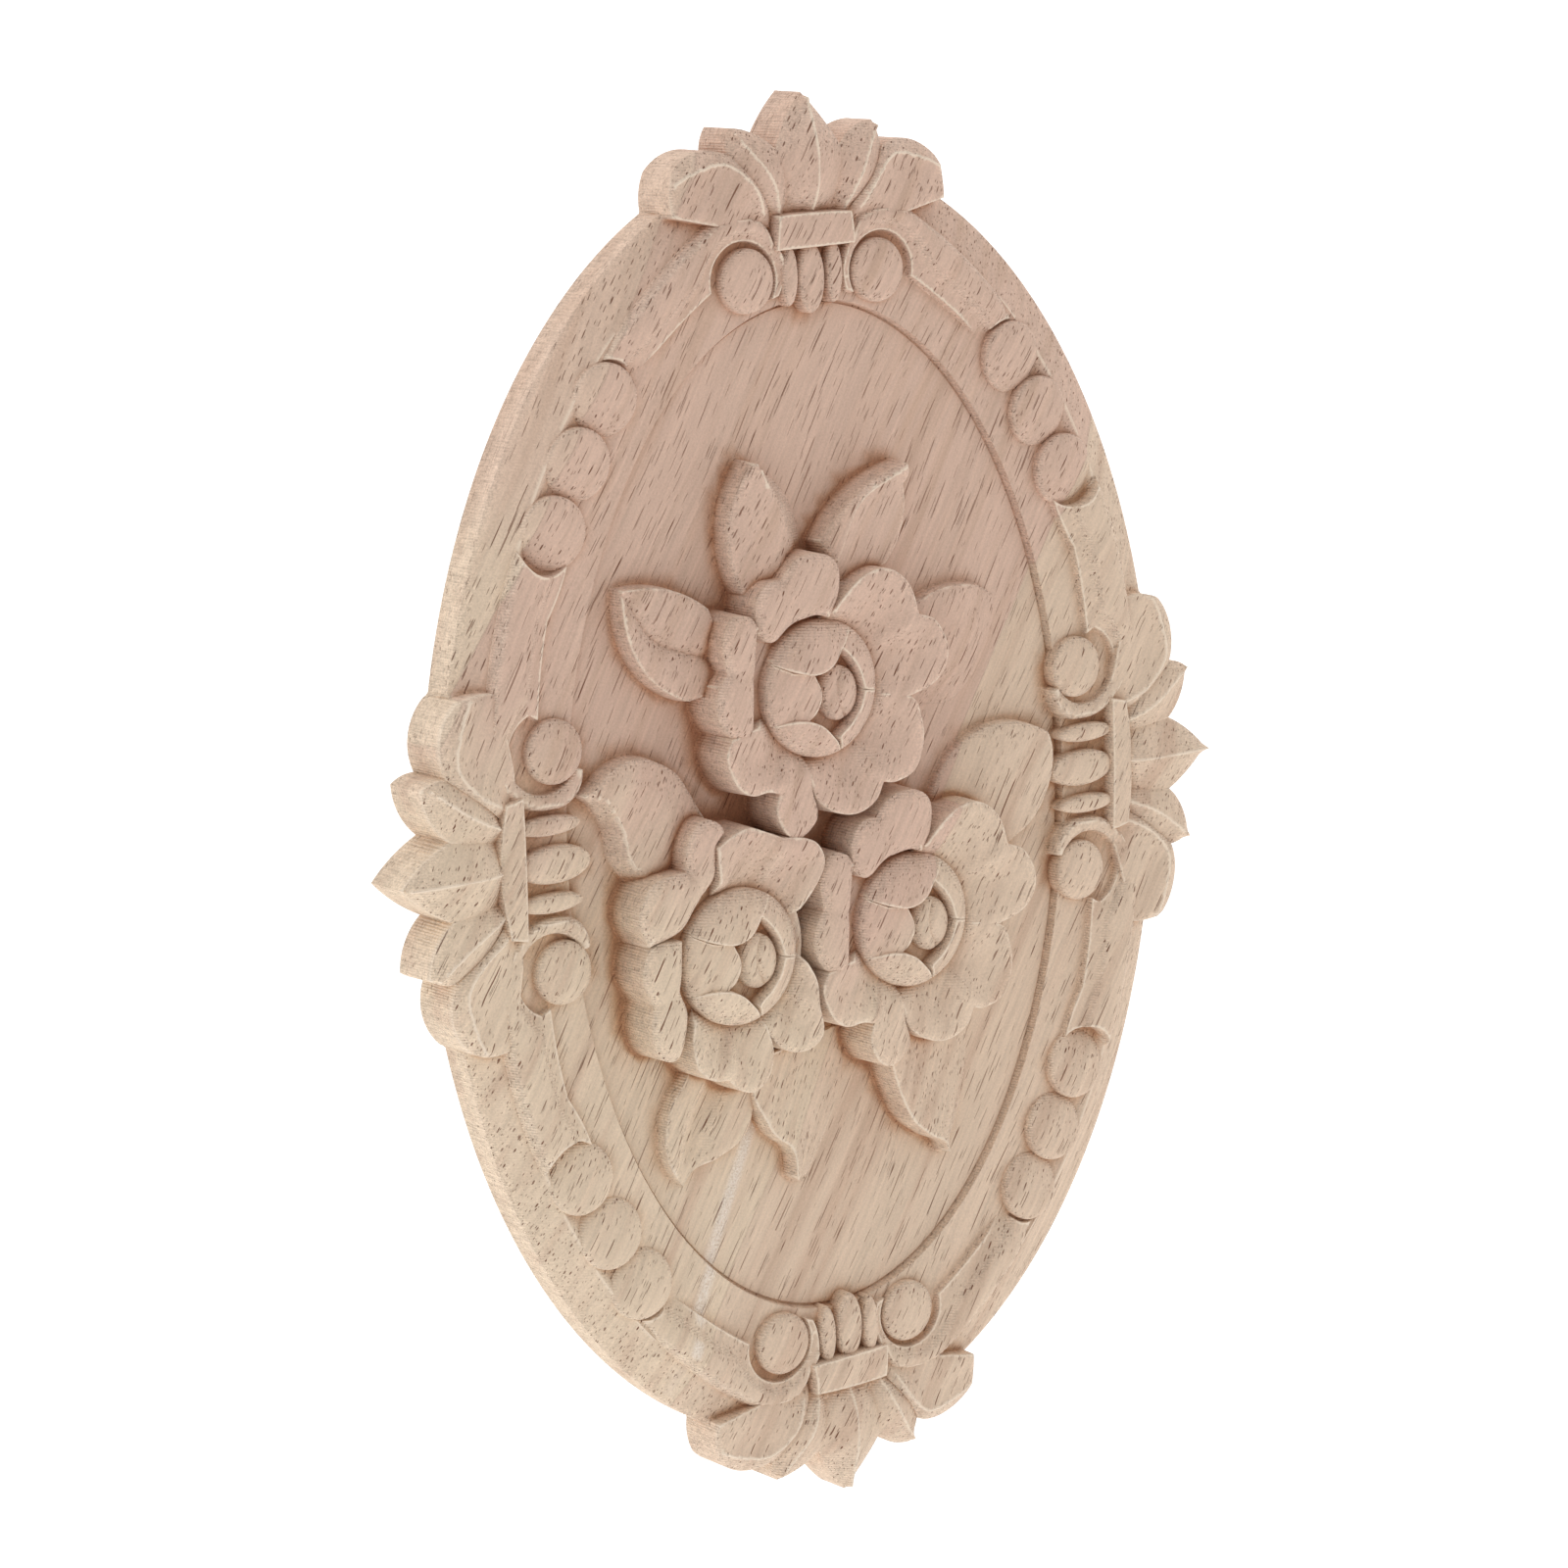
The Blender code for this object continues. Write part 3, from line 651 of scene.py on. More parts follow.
# Roses: points of each outer petal about the rose's centre; a third value marks a sharp corner. These
# points, and those of the leaves that spray() makes with shaped(), were picked by eye in the photo. A
# scratch script turned them into mm through the camera below, and some were then moved by hand.
OPEN_ROSE = {
    "side_strip": ((-11.1, 10.8, 1), (-12.6, 12.5), (-15.5, 12.6), (-17.4, 9.2), (-16.7, 4.4, 1),
                   (-18.4, 2.0), (-18.8, -1.5), (-17.0, -4.7), (-14.4, -5.9, 1), (-12.7, -4.7, 1),
                   (-12.2, 2.9), (-11.5, 9.4)),
    "top_roll": ((-11.1, 10.0, 1), (-11.2, 14.1), (-9.3, 16.9), (-6.4, 17.4, 1), (-3.7, 20.0), (-0.7, 20.7),
                 (2.5, 20.1), (4.2, 18.0), (3.9, 14.1), (2.2, 11.0, 1), (-0.5, 11.6), (-5.0, 10.6),
                 (-7.9, 8.6), (-9.5, 8.6)),
    "upper": ((1.7, 10.6, 1), (5.0, 13.9), (8.4, 16.3), (12.0, 17.2), (15.1, 16.2), (17.6, 13.6),
              (19.0, 9.4, 1), (22.2, 8.0), (24.3, 4.4), (24.0, 1.0), (21.6, -1.6), (17.0, -3.0, 1),
              (7.0, -2.2, 1), (0.0, 4.0, 1)),
    "lower": ((8.0, -1.4, 1), (17.0, -3.2), (19.0, -6.5), (19.2, -10.6), (17.4, -14.6), (13.8, -15.9),
              (11.3, -15.6, 1), (9.6, -18.4), (6.2, -19.8), (2.4, -19.2), (-0.6, -17.0), (-1.9, -13.5),
              (-2.2, -8.0, 1), (2.0, 0.0, 1)),
    "twin": ((-2.4, -8.0, 1), (-1.9, -14.8), (-0.8, -18.8), (-1.8, -20.8), (-4.6, -22.1), (-7.3, -21.1),
             (-8.9, -17.8), (-8.3, -14.7, 1), (-10.5, -14.2), (-13.6, -14.3), (-16.3, -12.3), (-17.8, -8.1),
             (-16.6, -5.5, 1), (-9.0, -3.5, 1)),
}
SHUT_ROSE = {
    "side_strip": ((-16.4, 3.7, 1), (-14.2, 4.2), (-10.9, 3.9, 1), (-11.1, -0.4), (-11.4, -3.9),
                   (-10.4, -7.6), (-11.8, -13.1), (-14.0, -13.9), (-16.0, -11.9), (-16.6, -8.3),
                   (-16.0, -5.2, 1), (-17.8, -1.5), (-17.6, 1.6)),
    "upper_strip": ((-14.9, 13.5), (-17.6, 10.3), (-18.0, 7.3), (-16.6, 4.1, 1), (-11.0, 5.7), (-8.2, 8.8),
                    (-6.0, 11.1), (-4.4, 13.3), (-4.0, 17.4), (-2.4, 19.6), (-4.5, 21.4), (-7.1, 20.9),
                    (-9.1, 17.8), (-9.2, 14.2, 1)),
    "upper": ((-4.0, 17.2, 1), (-1.4, 18.6), (1.8, 19.4), (5.0, 18.3), (8.2, 16.9, 1), (11.4, 16.5),
              (14.4, 15.2), (15.8, 12.2), (14.0, 8.6), (10.0, 4.6, 1), (2.0, 3.0, 1), (-3.6, 9.6, 1)),
    "bottom": ((-8.9, -8.6, 1), (-9.4, -12.2), (-8.8, -15.9), (-6.2, -18.2), (-3.3, -18.7, 1), (-1.0, -20.7),
               (1.7, -21.3), (4.5, -19.3), (5.5, -15.8), (4.3, -11.3, 1), (1.0, -5.0, 1), (-5.0, -5.0, 1)),
    "lower": ((2.6, -9.0, 1), (5.8, -14.1), (8.5, -16.3), (12.3, -16.4), (14.6, -14.3), (14.0, -10.0, 1),
              (13.6, -6.0), (11.4, -2.0), (9.0, 1.5, 1), (3.0, -2.0, 1)),
}
# For each kind of petal: strip or dish, height at its foot, at its rim, drop at its two sides
PETAL_FORMS = {"side_strip": ("strip", 0, 14.3, 0.0, 0.0), "upper_strip": ("strip", 0, 14.2, 0.0, 0.0),
               "top_roll": ("strip", 0, 14.35, 0.0, 0.0), "upper": ("dish", 11.0, 14.4, 0.0, 0.3),
               "lower": ("dish", 10.9, 14.3, 0.2, 0.9), "twin": ("dish", 11.2, 14.2, 0.9, 0.1),
               "bottom": ("dish", 10.5, 14.0, 0.5, 0.4)}
# Centre of each rose, how far its heart is off that, and its petals
ROSES = (((-5.0, 20.6), (0.9, 0.0), OPEN_ROSE), ((11.5, -18.0), (0.9, 0.0), OPEN_ROSE),
         ((-21.3, -18.0), (0.4, -0.4), SHUT_ROSE))
HEART_R, HEART_FOOT_H = 10.4, 11.6
MOAT_R, MOAT_H = 13.2, 10.6
# A dish rises from this radius, and what lies past the second one is a petal's outer edge
PETAL_FOOT_R, PETAL_EDGE_R = 9.6, 12.4


def petal_top(outline, form):
    """A strip has a rounded top; a dish falls from its rim to its foot beside the heart."""
    kind, foot, rim, left, right = form
    reach = np.hypot(outline[:, 0], outline[:, 1])
    outside = reach > PETAL_EDGE_R
    start = int(np.argmax(outside & ~np.roll(outside, 1)))
    tip = np.roll(outline, -start, 0)[:int(outside.sum())]
    notch = outline[sharpest(outline, reach)]
    fold = resample(np.vstack([notch, notch * 0.62]), 0.5)
    angles = np.unwrap(np.arctan2(tip[:, 1], tip[:, 0]))
    low, high = angles.min(), angles.max()

    def top(p):
        edge, crease = gap(p, outline, True), gap(p, fold)
        if kind == "strip":
            rounding = 0.75 * np.clip(1 - edge / 2.4, 0, 1) ** 2
            return rim - rounding - 0.35 * np.exp(-crease / 0.9) - 0.25 * np.exp(-edge / 0.35)
        risen = np.hypot(p[:, 0], p[:, 1]) - PETAL_FOOT_R
        f = np.clip(risen / np.maximum(risen + gap(p, tip), 0.3), 0, 1)
        h = foot + (rim - foot) * (0.35 * f + 0.65 * smooth(0.0, 1.0, f))
        middle = (low + high) / 2
        a = np.arctan2(p[:, 1], p[:, 0])
        a = middle + (a - middle + np.pi) % (2 * np.pi) - np.pi
        v = np.clip((a - middle) / ((high - low) / 2), -1, 1)
        h = h - np.where(v > 0, left, right) * smooth(0.55, 1.0, np.abs(v))
        h = h + 0.65 * np.exp(-(crease / 1.2) ** 2) * smooth(0.0, 0.5, f) * smooth(1.0, 0.75, f)
        return h - 0.45 * np.exp(-edge / 0.6)
    return top


def sharpest(outline, reach):
    """Index of the notch between a petal's lobes: the most hollow corner of its outer edge."""
    ahead = np.roll(outline, -2, 0) - outline
    behind = outline - np.roll(outline, 2, 0)
    bend = (behind[:, 0] * ahead[:, 1] - behind[:, 1] * ahead[:, 0]) * np.sign(signed_area(outline))
    return int(np.where(reach > PETAL_EDGE_R, bend, 9.0).argmin())


# Petals furled round the heart, about its centre: the lip of each
LIPS = {
    "high": ((-9.2, 4.9), (-6.0, 3.5), (-2.4, 2.7), (0.6, 3.7), (2.8, 6.3)),
    "left": ((-2.6, 2.7), (-1.3, -0.4), (-2.1, -3.0), (-4.2, -4.8)),
    "low": ((-9.3, -4.7), (-5.6, -4.2), (-1.8, -5.3), (1.3, -7.9)),
    "corner": ((7.1, -1.0), (6.2, -3.4), (4.5, -5.6), (2.2, -7.5)),
    "right": ((2.8, 6.3), (4.7, 4.5), (6.3, 2.1), (7.2, -0.7)),
}


def on_rim(a0, a1):
    """Points round the heart's rim from one angle to another, in degrees."""
    count = max(3, int(abs(a1 - a0) / 3))
    t = np.radians(np.linspace(a0, a1, count))
    return HEART_R * np.column_stack([np.cos(t), np.sin(t)])


def furled():
    """Outline, level and lip line of each petal on the heart."""
    lips = {name: curve(line, 0.4) for name, line in LIPS.items()}
    yield np.vstack([on_rim(150, 58), lips["high"][::-1][:-1]]), 0.48, lips["high"]
    left = np.vstack([on_rim(206, 152), (-8.8, 4.4), (-6.0, 3.1), (-3.2, 2.6), lips["left"], (-6.0, -4.4)])
    yield left, -0.25, lips["left"]
    yield np.vstack([on_rim(288, 207), lips["low"]]), 0.45, lips["low"]
    yield np.vstack([on_rim(351, 290), lips["corner"][::-1]]), 0.25, lips["corner"]
    yield np.vstack([on_rim(57, -8), lips["right"][::-1]]), 0.05, lips["right"]


def heart_height(r):
    return HEART_FOOT_H + 3.0 * np.sqrt(np.clip(1 - (r / 10.7) ** 2.5, 0, 1))


def rose(carving, centre, shift, petals):
    """A flat moat, the outer petals on it, and the heart of furled petals round a bud."""
    middle = np.array(centre)
    heart = middle + np.array(shift)

    def petal_place(p):
        return p + middle

    def heart_place(p):
        return p + heart

    carving.block(circle(0, 0, MOAT_R), lambda p: np.full(len(p), MOAT_H), place=petal_place, grid=1.5)
    for kind, corners in petals.items():
        outline = shaped(corners)
        carving.block(outline, petal_top(outline, PETAL_FORMS[kind]), place=petal_place, draft=0.04)
    carving.block(circle(0, 0, HEART_R - 0.2), lambda p: np.full(len(p), HEART_FOOT_H), place=heart_place,
                  grid=1.2)
    for outline, level, lip in furled():
        outline = resample(np.vstack([outline, outline[:1]]), 0.45)[:-1]

        def furled_top(p, level=level, lip=lip):
            r, away = np.hypot(p[:, 0], p[:, 1]), gap(p, lip)
            rolled = heart_height(r) + level * smooth(11.0, 7.0, r)
            return rolled + 0.25 * np.exp(-away / 1.4) - 0.25 * np.exp(-away / 0.3)
        carving.block(outline, furled_top, place=heart_place, grid=0.5)
    bud = circle(2.7, -0.9, 3.3, 4.1)
    curl = curve(((3.6, 2.9), (2.4, 0.8), (2.4, -2.0), (3.8, -4.4)), 0.4)

    def bud_top(p):
        d = np.hypot((p[:, 0] - 2.9) / 3.5, (p[:, 1] + 0.9) / 4.3)
        return 12.6 + 1.55 * np.sqrt(np.clip(1 - d ** 2, 0, 1)) - 0.55 * np.exp(-gap(p, curl) / 0.45)
    carving.block(bud, bud_top, (curl,), place=heart_place, grid=0.45)


def spray(carving):
    """The nine leaves round the roses, each with its own fold."""
    def leaf(outline, form, creases):
        """form gives the height from x, y, the distance to the edge and the signed ones to the creases."""
        lines = [curve(c) for c in creases]

        def top(p):
            edge = gap(p, outline, True)
            found = [to_line(p, line) for line in lines]
            signed = [np.where(s > 0, d, -d) for d, s in found]
            return form(p[:, 0], p[:, 1], edge, signed) - 0.3 * np.exp(-edge / 0.4)
        carving.block(outline, top, lines)

    def wedge(crest, back, crest_h, far):
        """A leaf that stands on its crest and falls away to the field on the far side."""
        outline = shaped((crest[0] + (1,),) + crest[1:-1] + (crest[-1] + (1,),) + back)
        crest, far = curve(crest), curve(far)

        def top(p):
            near, away = gap(p, crest), gap(p, far)
            share = near / np.maximum(near + away, 1e-6)
            fall = share ** 1.1
            rolled = 0.25 * np.exp(-near / 0.4)
            return crest_h(p[:, 0], p[:, 1]) * (1 - fall) + (FIELD_H + 0.1) * fall - rolled
        carving.block(outline, top)

    # Left of the upper rose, and its two standing leaves
    leaf(arcs(((-37.2, 38.8, 1.6), (-22.3, 34.5, 1.2), (-22.0, 22.0, 0.0), (-26.5, 21.3, 4.0))),
         lambda x, y, e, s: 9.9 - 1.3 * np.exp(-np.abs(s[0]) / 1.5) - 0.04 * np.abs(s[0]) * (s[0] > 0),
         (((-37.0, 38.2), (-32.0, 31.0), (-22.0, 27.0)),))
    leaf(arcs(((-14.0, 55.5, 3.2), (-1.6, 43.0, 0.0), (-2.0, 37.0, 0.0), (-15.5, 35.5, 3.4))),
         lambda x, y, e, s: 11.3 - np.where(
             s[0] > 0, 5.6 * smooth(0.0, 1.0, s[0] / np.maximum(s[0] + e, 0.1)) ** 1.2, 0.22 * np.abs(s[0])),
         (((-12.8, 54.6), (-11.0, 48.5), (-10.3, 40.0)),))
    leaf(arcs(((-1.2, 42.5, 2.0), (14.9, 52.8, 0.6), (14.3, 50.0, 1.6), (10.5, 38.0, 0.0),
               (2.0, 36.0, 0.0))),
         lambda x, y, e, s: 11.3 - 0.30 * np.clip(s[0], 0, 20) - 0.25 * np.clip(-s[0], 0, 3)
         - 0.7 * np.exp(-np.abs(s[0] - 3.5) / 1.0),
         (((1.0, 40.0), (5.5, 48.0), (14.6, 52.4)),))
    # Low leaf on the right, which fades into the field
    far_side = ((34.8, 24.8), (31.4, 18.3), (27.7, 15.0), (24.5, 13.9))
    low = shaped(((14.0, 30.0, 1), (18.9, 30.9), (21.6, 31.9), (25.5, 32.5), (29.8, 32.1), (33.0, 31.0),
                  (35.3, 29.7, 1)) + far_side + ((14.0, 14.7, 1),))
    fading = curve(((35.3, 29.7),) + far_side + ((17.0, 14.0),))
    leaf(low, lambda x, y, e, s: 6.1 + 2.1 * smooth(0.0, 8.0, gap(np.column_stack([x, y]), fading))
         - 0.35 * np.exp(-np.abs(s[0]) / 1.4), (((17.0, 24.0), (24.0, 26.0), (31.0, 28.6)),))
    # Left leaf, folded along a curved crease and hollowed under its lower edge
    turned = shaped(((-45.6, 9.4, 1), (-43.6, 10.4), (-41.0, 12.4), (-37.8, 13.5), (-34.6, 13.4),
                     (-31.5, 12.1), (-28.7, 10.2), (-26.7, 7.3), (-24.0, 3.0, 1), (-26.0, -6.0, 1),
                     (-36.9, -5.6, 1), (-40.2, -0.9), (-40.6, 2.1), (-41.6, 5.0), (-43.4, 7.6)))

    def turned_top(x, y, e, s):
        body = 10.15 - np.where(s[1] > 0, 0.24 * np.clip(s[1], 0, 6), 0.11 * np.clip(-s[1], 0, 6))
        under = 9.7 - 3.9 * smooth(-0.3, 2.6, -s[0]) ** 0.8
        return np.where(s[0] > 0, body, np.minimum(body, under))
    fold = ((-45.4, 9.2), (-43.2, 8.5), (-41.0, 6.6), (-39.4, 4.0), (-38.8, 1.3), (-38.1, -1.5),
            (-35.4, -5.4))
    vein = ((-43.4, 9.6), (-40.0, 10.3), (-36.8, 9.9), (-33.3, 8.2), (-31.2, 4.9), (-31.9, 1.4),
            (-34.6, -2.4))
    leaf(turned, turned_top, (fold, vein))
    # Broad leaf on the right
    leaf(arcs(((20.5, -1.0, 6.0), (43.0, 7.0, 3.0), (38.0, -8.0, 0.0), (26.0, -14.0, 0.0))),
         lambda x, y, e, s: 10.0 - 0.28 * np.clip(s[0], 0, 20) - 0.12 * np.clip(-s[0], 0, 9)
         - 0.5 * np.exp(-np.abs(s[0]) / 0.9),
         (((24.0, -10.0), (33.0, 2.0), (42.4, 6.6)),))
    # Three leaves below the roses
    leaf(shaped(((-27.0, -34.0, 1), (-29.0, -37.3), (-31.5, -40.5), (-32.7, -44.3), (-32.8, -47.6),
                 (-31.6, -51.1), (-29.1, -53.9, 1), (-26.9, -51.4), (-23.4, -50.1), (-19.6, -48.8),
                 (-17.4, -46.7), (-16.4, -43.1), (-16.2, -34.0, 1))),
         lambda x, y, e, s: 6.9 + np.where(
             s[0] < 0, 1.5 * smooth(0.0, 3.2, -s[0]),
             1.7 * smooth(0.0, 4.5, s[0]) - 0.10 * np.clip(s[0] - 5, 0, 9)),
         (((-21.5, -36.5), (-24.2, -40.0), (-26.4, -43.0), (-27.7, -46.4), (-28.4, -50.0), (-28.9, -53.4)),))
    crest = ((-17.2, -36.0), (-16.9, -41.7), (-15.0, -45.5), (-13.7, -47.8), (-12.1, -49.4), (-10.4, -50.7),
             (-9.4, -52.7), (-9.2, -55.9))
    wedge(crest, ((-6.9, -57.4), (-4.7, -56.4), (1.5, -44.9), (2.9, -34.0, 1)), lambda x, y: 9.5,
          ((-6.4, -57.4), (-4.4, -56.0), (1.7, -44.9), (3.1, -34.0)))
    crest = ((7.6, -36.0), (8.5, -41.3), (9.4, -44.4), (10.8, -47.9), (12.8, -51.0), (16.5, -53.9),
             (19.4, -55.5), (20.4, -57.4))
    wedge(crest, ((22.4, -57.8), (24.6, -53.5), (26.8, -46.0), (27.5, -36.0, 1)),
          lambda x, y: 11.5 - 1.2 * smooth(-49.0, -57.0, y),
          ((22.6, -57.6), (24.8, -53.5), (27.0, -46.0), (27.7, -36.0)))


def joined(carving, name):
    """All the blocks united to one closed surface."""
    solids = []
    for k, (verts, faces) in enumerate(carving.blocks):
        mesh = bpy.data.meshes.new(f"{name}_{k}")
        mesh.from_pydata(verts.tolist(), [], faces)
        mesh.validate()
        mesh.update()
        made = bpy.data.objects.new(f"{name}_{k}", mesh)
        solids.append(made)
    group = bpy.data.collections.new(name + "_blocks")
    bpy.context.scene.collection.children.link(group)
    whole = solids[0]
    bpy.context.scene.collection.objects.link(whole)
    for made in solids[1:]:
        group.objects.link(made)
    union = whole.modifiers.new("union", "BOOLEAN")
    union.operation = "UNION"
    union.solver = "MANIFOLD"
    union.operand_type = "COLLECTION"
    union.collection = group
    bpy.context.view_layer.update()
    graph = bpy.context.evaluated_depsgraph_get()
    mesh = bpy.data.meshes.new_from_object(whole.evaluated_get(graph))
    mesh.name = name
    for made in solids:
        bpy.data.objects.remove(made)
    bpy.data.collections.remove(group)
    return placed(name, mesh)


carving = Carving()
board(carving)
stamps = boss_tree()
border(carving, stamps)
for way in (1, -1):
    palmette(carving, *PALMETTE_END, 0, way)
    palmette(carving, *PALMETTE_SIDE, way, 0)
    clasp(carving, stamps, *CLASP_END, RIBS_END, 0, way)
    clasp(carving, stamps, *CLASP_SIDE, RIBS_SIDE, way, 0)
for centre, shift, petals in ROSES:
    rose(carving, centre, shift, petals)
spray(carving)

applique = joined(carving, "carved_applique")
applique.data.shade_smooth()
applique.data.set_sharp_from_angle(angle=math.radians(32))


# Wood tones, painted shade and highlight tones, and the glue lines between the staves, which run with the
# grain
PINK_TONE = (0.632, 0.444, 0.347, 1)
CREAM_TONE = (0.705, 0.560, 0.418, 1)
FUZZ_TONE = (0.800, 0.665, 0.550, 1)
PORE_TONE = (0.190, 0.074, 0.038, 1)
BAND_TONE = (0.500, 0.330, 0.235, 1)
# Painted shade for hollows
HOLLOW_SHADE_TONE = (0.770, 0.610, 0.490, 1)
# Painted shade for the deepest hollows
PIT_SHADE_TONE = (0.720, 0.570, 0.480, 1)
TORN_TONE = (0.880, 0.790, 0.700, 1)
# Light fuzz with a painted highlight along cut edges
EDGE_FUZZ_HIGHLIGHT_TONE = (0.850, 0.715, 0.575, 1)
GRAIN_ANGLE = 58.5
LEFT_GLUE_LINE, RIGHT_GLUE_LINE = -70.0, 19.0


def pores(n, along, across, depth, size, radius, share):
    """Cut vessels: thin dark tubes along the grain, long where the face follows them and else dots."""
    length, width = size
    cell = n.vector(along / length, across / width, depth / width)
    near = n.make("ShaderNodeTexVoronoi", {"voronoi_dimensions": "3D", "feature": "F1"},
                  {"Vector": cell, "Scale": 1.0})
    texture = near.socket.node
    spot = Value(n, texture.outputs["Position"])
    colour = n.make("ShaderNodeSeparateColor", None, {0: Value(n, texture.outputs["Color"])})
    present, thick, dark = (Value(n, colour.socket.node.outputs[k]) for k in range(3))
    away = n.make("ShaderNodeVectorMath", {"operation": "SUBTRACT"}, {0: cell, 1: spot})
    da, dw, dd = (n.part(away, k) for k in range(3))
    da = da * length
    dw = dw * width
    dd = dd * width - da * 0.028
    apart = (dw * dw + dd * dd).math("SQRT")
    wall = radius * (thick * 0.6 + 0.7)
    tube = 1 - (apart / wall).step(0.65, 1.15)
    ends = 1 - (da.math("ABSOLUTE") / length).step(0.34, 0.5)
    return tube * ends * present.step(share + 0.02, share) * (dark * 0.50 + 0.50)


def rubberwood():
    wood = bpy.data.materials.new("raw_rubberwood")
    wood.use_nodes = True
    n = Nodes(wood.node_tree)
    shader = wood.node_tree.nodes["Principled BSDF"]
    where = n.make("ShaderNodeTexCoord", None, None, "Object")
    facing = n.make("ShaderNodeTexCoord", None, None, "Normal")
    mm = n.make("ShaderNodeVectorMath", {"operation": "SCALE"}, {0: where, "Scale": 1000.0})
    x, y, z = (n.part(mm, k) for k in range(3))
    depth = y * -1
    slope = 1 - n.part(facing, 1).math("ABSOLUTE")
    turn = math.radians(GRAIN_ANGLE)
    along = x * math.cos(turn) + z * math.sin(turn)
    straight = x * math.sin(turn) - z * math.cos(turn)
    wander = n.noise(n.vector(along / 45, straight / 30, depth / 30), 1.0)
    across = straight + wander * 2.2

    # Staves, each a little different
    right = straight.step(RIGHT_GLUE_LINE - 0.15, RIGHT_GLUE_LINE + 0.15)
    left = straight.step(LEFT_GLUE_LINE + 0.15, LEFT_GLUE_LINE - 0.15)
    middle = 1 - (right + left)
    shifted = across + right * 37.0 + left * 71.0
    streak = n.noise(n.vector(along / 60, shifted / 5.5, depth / 9), 2.0)
    fine = n.noise(n.vector(along / 9, shifted / 0.55, depth / 0.8), 3.0, 0.6)
    waver = n.noise(n.vector(along / 80, shifted / 7, depth / 20), 1.0)
    fading = (z + x * 0.6 + waver * 20).step(-42.0, -4.0)
    left_pink = along.step(4.0, 24.0) * 0.55 + 0.14
    pink = middle * (fading * 0.98 + 0.02) + right * 0.30 + left * left_pink
    pink = (pink + streak * 0.14).held()
    tone = n.blend(pink, CREAM_TONE, PINK_TONE)
    bands = n.noise(n.vector(along / 120, shifted / 3.6, depth / 6), 2.0).step(-0.05, 0.50)
    tone = n.blend(bands * 0.50, tone, BAND_TONE)
    lines = n.noise(n.vector(along / 40, shifted / 0.9, depth / 2), 2.0, 0.6)

    # Pores
    big = pores(n, along, shifted, depth, (10.0, 0.95), 0.105, 0.62)
    small = pores(n, along + 3.1, shifted + 11.7, depth + 2.3, (5.0, 0.50), 0.062, 0.72)
    marks = (big + small * 0.75).math("MINIMUM", 1.0)

    # Raised fuzz left by the cutter: on slopes, along edges and in a stripe of loose grain; masks for
    # painted light and shade
    speck = n.noise(n.vector(x / 0.34, depth / 0.34, z / 0.34), 2.0, 0.7)
    patch = n.noise(n.vector(x / 5.0, depth / 3.0, z / 5.0), 2.0)
    ripple = {"wave_type": "BANDS", "bands_direction": "Z", "wave_profile": "SIN"}
    passes = n.make("ShaderNodeTexWave", ripple,
                    {"Vector": n.vector(x * 0.02, depth * 0.05, z + x * 0.10), "Scale": 0.75,
                     "Distortion": 0.9, "Detail": 2.0, "Detail Scale": 1.4}, "Fac")
    fibres = n.noise(n.vector(x / 0.42, depth / 4.0, z / 0.42), 2.0, 0.7)
    steep = slope.step(0.02, 0.30)
    wall = slope.step(0.35, 0.75)
    edge = n.make("ShaderNodeAttribute", {"attribute_name": "cut_edge"}, None, "Fac")
    lip = (edge + speck * 0.25).step(0.30, 0.85) * depth.step(7.2, 8.2)
    hollow = n.make("ShaderNodeAttribute", {"attribute_name": "hollow"}, None, "Fac")
    sunk, proud, shaded_pit = hollow.step(0.02, 0.85), hollow.step(-0.05, -0.75), hollow.step(0.60, 1.0)
    carved = (steep + sunk + proud).math("MINIMUM", 1.0)
    loose = ((straight + along * 0.13 - 5.25).math("ABSOLUTE").step(1.6, 0.3) * along.step(-45.0, -51.0)
             * (1 - slope.step(0.0, 0.1)))
    fuzz = steep * (0.34 + patch * 0.30) + speck * 0.20 * (steep + 0.35) + loose * (0.55 + speck * 0.5)
    fuzz = fuzz.held()

    colour = n.blend(fuzz * 0.50 * (1 - wall * 0.6), tone, FUZZ_TONE)
    # Painted shade: darker where a point lies below the carving round it, less on walls
    colour = n.darkened(sunk * (1.0 - wall * 0.35), colour, HOLLOW_SHADE_TONE)
    mottle = n.noise(n.vector(x / 0.9, depth / 0.9, z / 0.9), 3.0, 0.7)
    # More painted shade in the deepest hollows
    colour = n.darkened(shaded_pit * 0.8, colour, PIT_SHADE_TONE)
    # Grain and fuzz variation, with painted light: raised parts and steep walls made lighter
    shade = (1 + fine * 0.17 + lines * 0.14 + streak * 0.07 + speck * (0.18 + carved * 0.24)
             + mottle * carved * 0.16 + proud * 0.05 + wall * 0.04 + fibres * wall * 0.30
             + (passes - 0.5) * steep * 0.07)
    grey = n.make("ShaderNodeCombineColor", None, {0: shade, 1: shade, 2: shade})
    colour = n.blend(1.0, colour, grey, "MULTIPLY")
    colour = n.blend(marks * (1 - wall * 0.5), colour, PORE_TONE)
    # Light fuzz with a painted highlight along high cut edges
    colour = n.blend(lip * 0.78, colour, EDGE_FUZZ_HIGHLIGHT_TONE)
    torn = (loose * (0.45 + speck * 1.1)).held(0.9)
    colour = n.blend(torn, colour, TORN_TONE)
    wood.node_tree.links.new(colour.socket, shader.inputs["Base Color"])

    rough = 0.86 + fuzz * 0.06 - fine * 0.03
    wood.node_tree.links.new(rough.socket, shader.inputs["Roughness"])
    shader.inputs["Specular IOR Level"].default_value = 0.25

    height = (fine * 0.018 + speck * (0.020 + carved * 0.035) + fibres * wall * 0.09
              + (passes - 0.5) * steep * 0.085 - marks * 0.16 + loose * speck * 0.10)
    bump = n.make("ShaderNodeBump", None, {"Strength": 1.0, "Distance": 0.001, "Height": height})
    wood.node_tree.links.new(bump.socket, shader.inputs["Normal"])
    return wood


